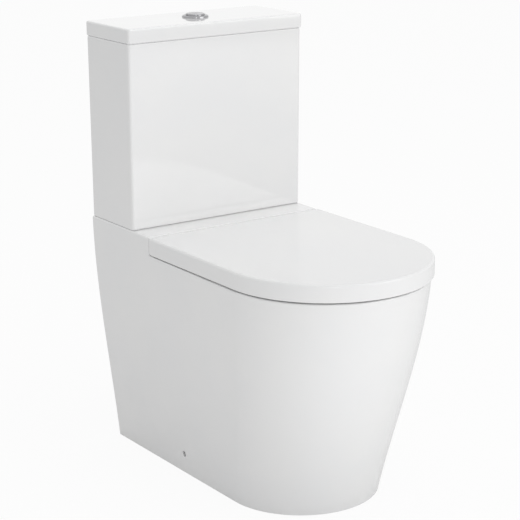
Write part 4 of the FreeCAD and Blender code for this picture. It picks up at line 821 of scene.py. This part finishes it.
# What stays hidden until a lid is lifted keeps its construction, in the finish of its own
# material: the valves in grey plastic, their seals in rubber, the inlet's parts in brass.
grey_plastic, nodes, links, shader = new_material("grey_valve_plastic", (0.27, 0.29, 0.32), 0.45)
place = make_wavy(nodes, links, shader, 900, 0.08, 0.0002)
vary_roughness(nodes, links, shader, place, 60, 0.38, 0.55)

rubber, nodes, links, shader = new_material("black_rubber", (0.022, 0.022, 0.023), 0.7)
place = make_wavy(nodes, links, shader, 500, 0.3, 0.0003)
vary_colour(nodes, links, shader, place, 60, (0.018, 0.018, 0.019), (0.032, 0.032, 0.033))

brass, nodes, links, shader = new_material("turned_brass", (0.56, 0.39, 0.13), 0.28, 1.0)
place = make_wavy(nodes, links, shader, 300, 0.15, 0.0002)
vary_roughness(nodes, links, shader, place, 150, 0.2, 0.4)

finishes = {"china": glaze, "seat_plastic": seat_white, "chrome": chrome, "steel": steel, "brass": brass,
            "black_rubber": rubber, "white_plastic": white_plastic, "grey_plastic": grey_plastic}
for part in frame["record"]["subparts"]:
    paint(frame["nodes"][part["node"]], finishes[part["material_slot"]])

# The floor is one plain pale sheet that reaches past the view. To the camera it glows nearly
# white, and keeps only a faint shadow of the toilet.
floor_wide, glow_amount = 40, 0.92
bpy.ops.object.select_all(action="DESELECT")
bpy.ops.mesh.primitive_plane_add(size=floor_wide, location=(0, 0, 0))
floor = bpy.context.object
floor.name = "floor"
floor_paint, nodes, links, shader = new_material("pale_floor", (0.85, 0.85, 0.85), 0.9)
shader.inputs["Specular IOR Level"].default_value = 0.1
rays = nodes.new("ShaderNodeLightPath")
glow = nodes.new("ShaderNodeEmission")
glow.inputs["Strength"].default_value = 1.0
glow_share = nodes.new("ShaderNodeMath")
glow_share.operation = "MULTIPLY"
glow_share.inputs[1].default_value = glow_amount
mix = nodes.new("ShaderNodeMixShader")
links.new(rays.outputs["Is Camera Ray"], glow_share.inputs[0])
links.new(glow_share.outputs["Value"], mix.inputs["Fac"])
links.new(shader.outputs["BSDF"], mix.inputs[1])
links.new(glow.outputs["Emission"], mix.inputs[2])
links.new(mix.outputs["Shader"], nodes["Material Output"].inputs["Surface"])
floor.data.materials.append(floor_paint)

# The room is an even white for the camera and for reflections, and dimmer as a light.
scene = bpy.context.scene
scene.world = bpy.data.worlds.new("studio")
scene.world.use_nodes = True
nodes, links = scene.world.node_tree.nodes, scene.world.node_tree.links
room = nodes["Background"]
room.inputs["Color"].default_value = (1, 1, 1, 1)
room.inputs["Strength"].default_value = 0.7
backdrop = nodes.new("ShaderNodeBackground")
backdrop.inputs["Color"].default_value = (1, 1, 1, 1)
backdrop.inputs["Strength"].default_value = 1.0
rays = nodes.new("ShaderNodeLightPath")
mix = nodes.new("ShaderNodeMixShader")
seen = nodes.new("ShaderNodeMath")
seen.operation = "MAXIMUM"
links.new(rays.outputs["Is Camera Ray"], seen.inputs[0])
links.new(rays.outputs["Is Glossy Ray"], seen.inputs[1])
links.new(seen.outputs["Value"], mix.inputs["Fac"])
links.new(room.outputs["Background"], mix.inputs[1])
links.new(backdrop.outputs["Background"], mix.inputs[2])
links.new(mix.outputs["Shader"], nodes["World Output"].inputs["Surface"])

# A wide soft light stands ahead on the side of +X, a narrow upright one ahead on the camera's
# side, and a broad one hangs overhead.
light_aim = Vector((0, -0.05, 0.4))


def soft_light(name, spot, turn, wide, tall, radiance):
    """A plain rectangular light of even brightness."""
    bpy.ops.object.light_add(type="AREA", location=spot, rotation=turn)
    lamp = bpy.context.object
    lamp.name = name
    lamp.data.shape = "RECTANGLE"
    lamp.data.size = wide
    lamp.data.size_y = tall
    lamp.data.energy = radiance * math.pi * wide * tall
    return lamp


def softbox(name, azimuth, height, distance, wide, tall, radiance):
    """A light that faces the toilet. Azimuth 0 is straight ahead of it, 90 towards +X."""
    turn = math.radians(azimuth)
    spot = Vector((distance * math.sin(turn), -distance * math.cos(turn), height))
    facing = (light_aim - spot).to_track_quat("-Z", "Y").to_euler()
    soft_light(name, spot, facing, wide, tall, radiance)


softbox("front_softbox", 27, 1.5, 4.2, 2.6, 2.6, 1.55)
softbox("strip_light", -24, 1.2, 4.4, 0.7, 2.8, 1.6)
softbox("overhead_softbox", 60, 4.0, 0.8, 3.4, 3.4, 0.7)

# A low light on the floor ahead lifts the rounded front's foot. Neither camera nor glaze sees it.
strip_turn, strip_distance, strip_height = math.radians(-14), 1.35, 0.01
strip_spot = (strip_distance * math.sin(strip_turn), -strip_distance * math.cos(strip_turn), strip_height)
floor_light = soft_light("floor_strip", strip_spot, (math.pi, 0, strip_turn), 0.8, 1.7, 0.6)
floor_light.visible_camera = False
floor_light.visible_glossy = False

# The camera stands where the photograph was taken from.
pixels, sensor, focal_pixels = 520, 36.0, 1686.4
shift_right_pixels, shift_up_pixels = -19.39, 5.33
azimuth, elevation, roll = math.radians(-35.36), math.radians(15.736), math.radians(-0.185)
distance, step_right, step_up = 2.9474, 0.01823, -0.02012
back = Vector((math.sin(azimuth) * math.cos(elevation), -math.cos(azimuth) * math.cos(elevation),
               math.sin(elevation)))
right = Vector((math.cos(azimuth), math.sin(azimuth), 0))
up = back.cross(right)
target = Vector((0, wall_y - 0.3, 0.4))
bpy.ops.object.camera_add(location=target + back * distance + right * step_right + up * step_up)
camera = bpy.context.object
camera.name = "photo_camera"
level_turn = Matrix((right, up, back)).transposed()
camera.rotation_euler = (level_turn @ Matrix.Rotation(roll, 3, "Z")).to_euler()
camera.data.sensor_width = sensor
camera.data.lens = focal_pixels * sensor / pixels
camera.data.shift_x = shift_right_pixels / pixels
camera.data.shift_y = shift_up_pixels / pixels
camera.data.clip_end = 100
scene.camera = camera
scene.view_settings.view_transform = "Standard"
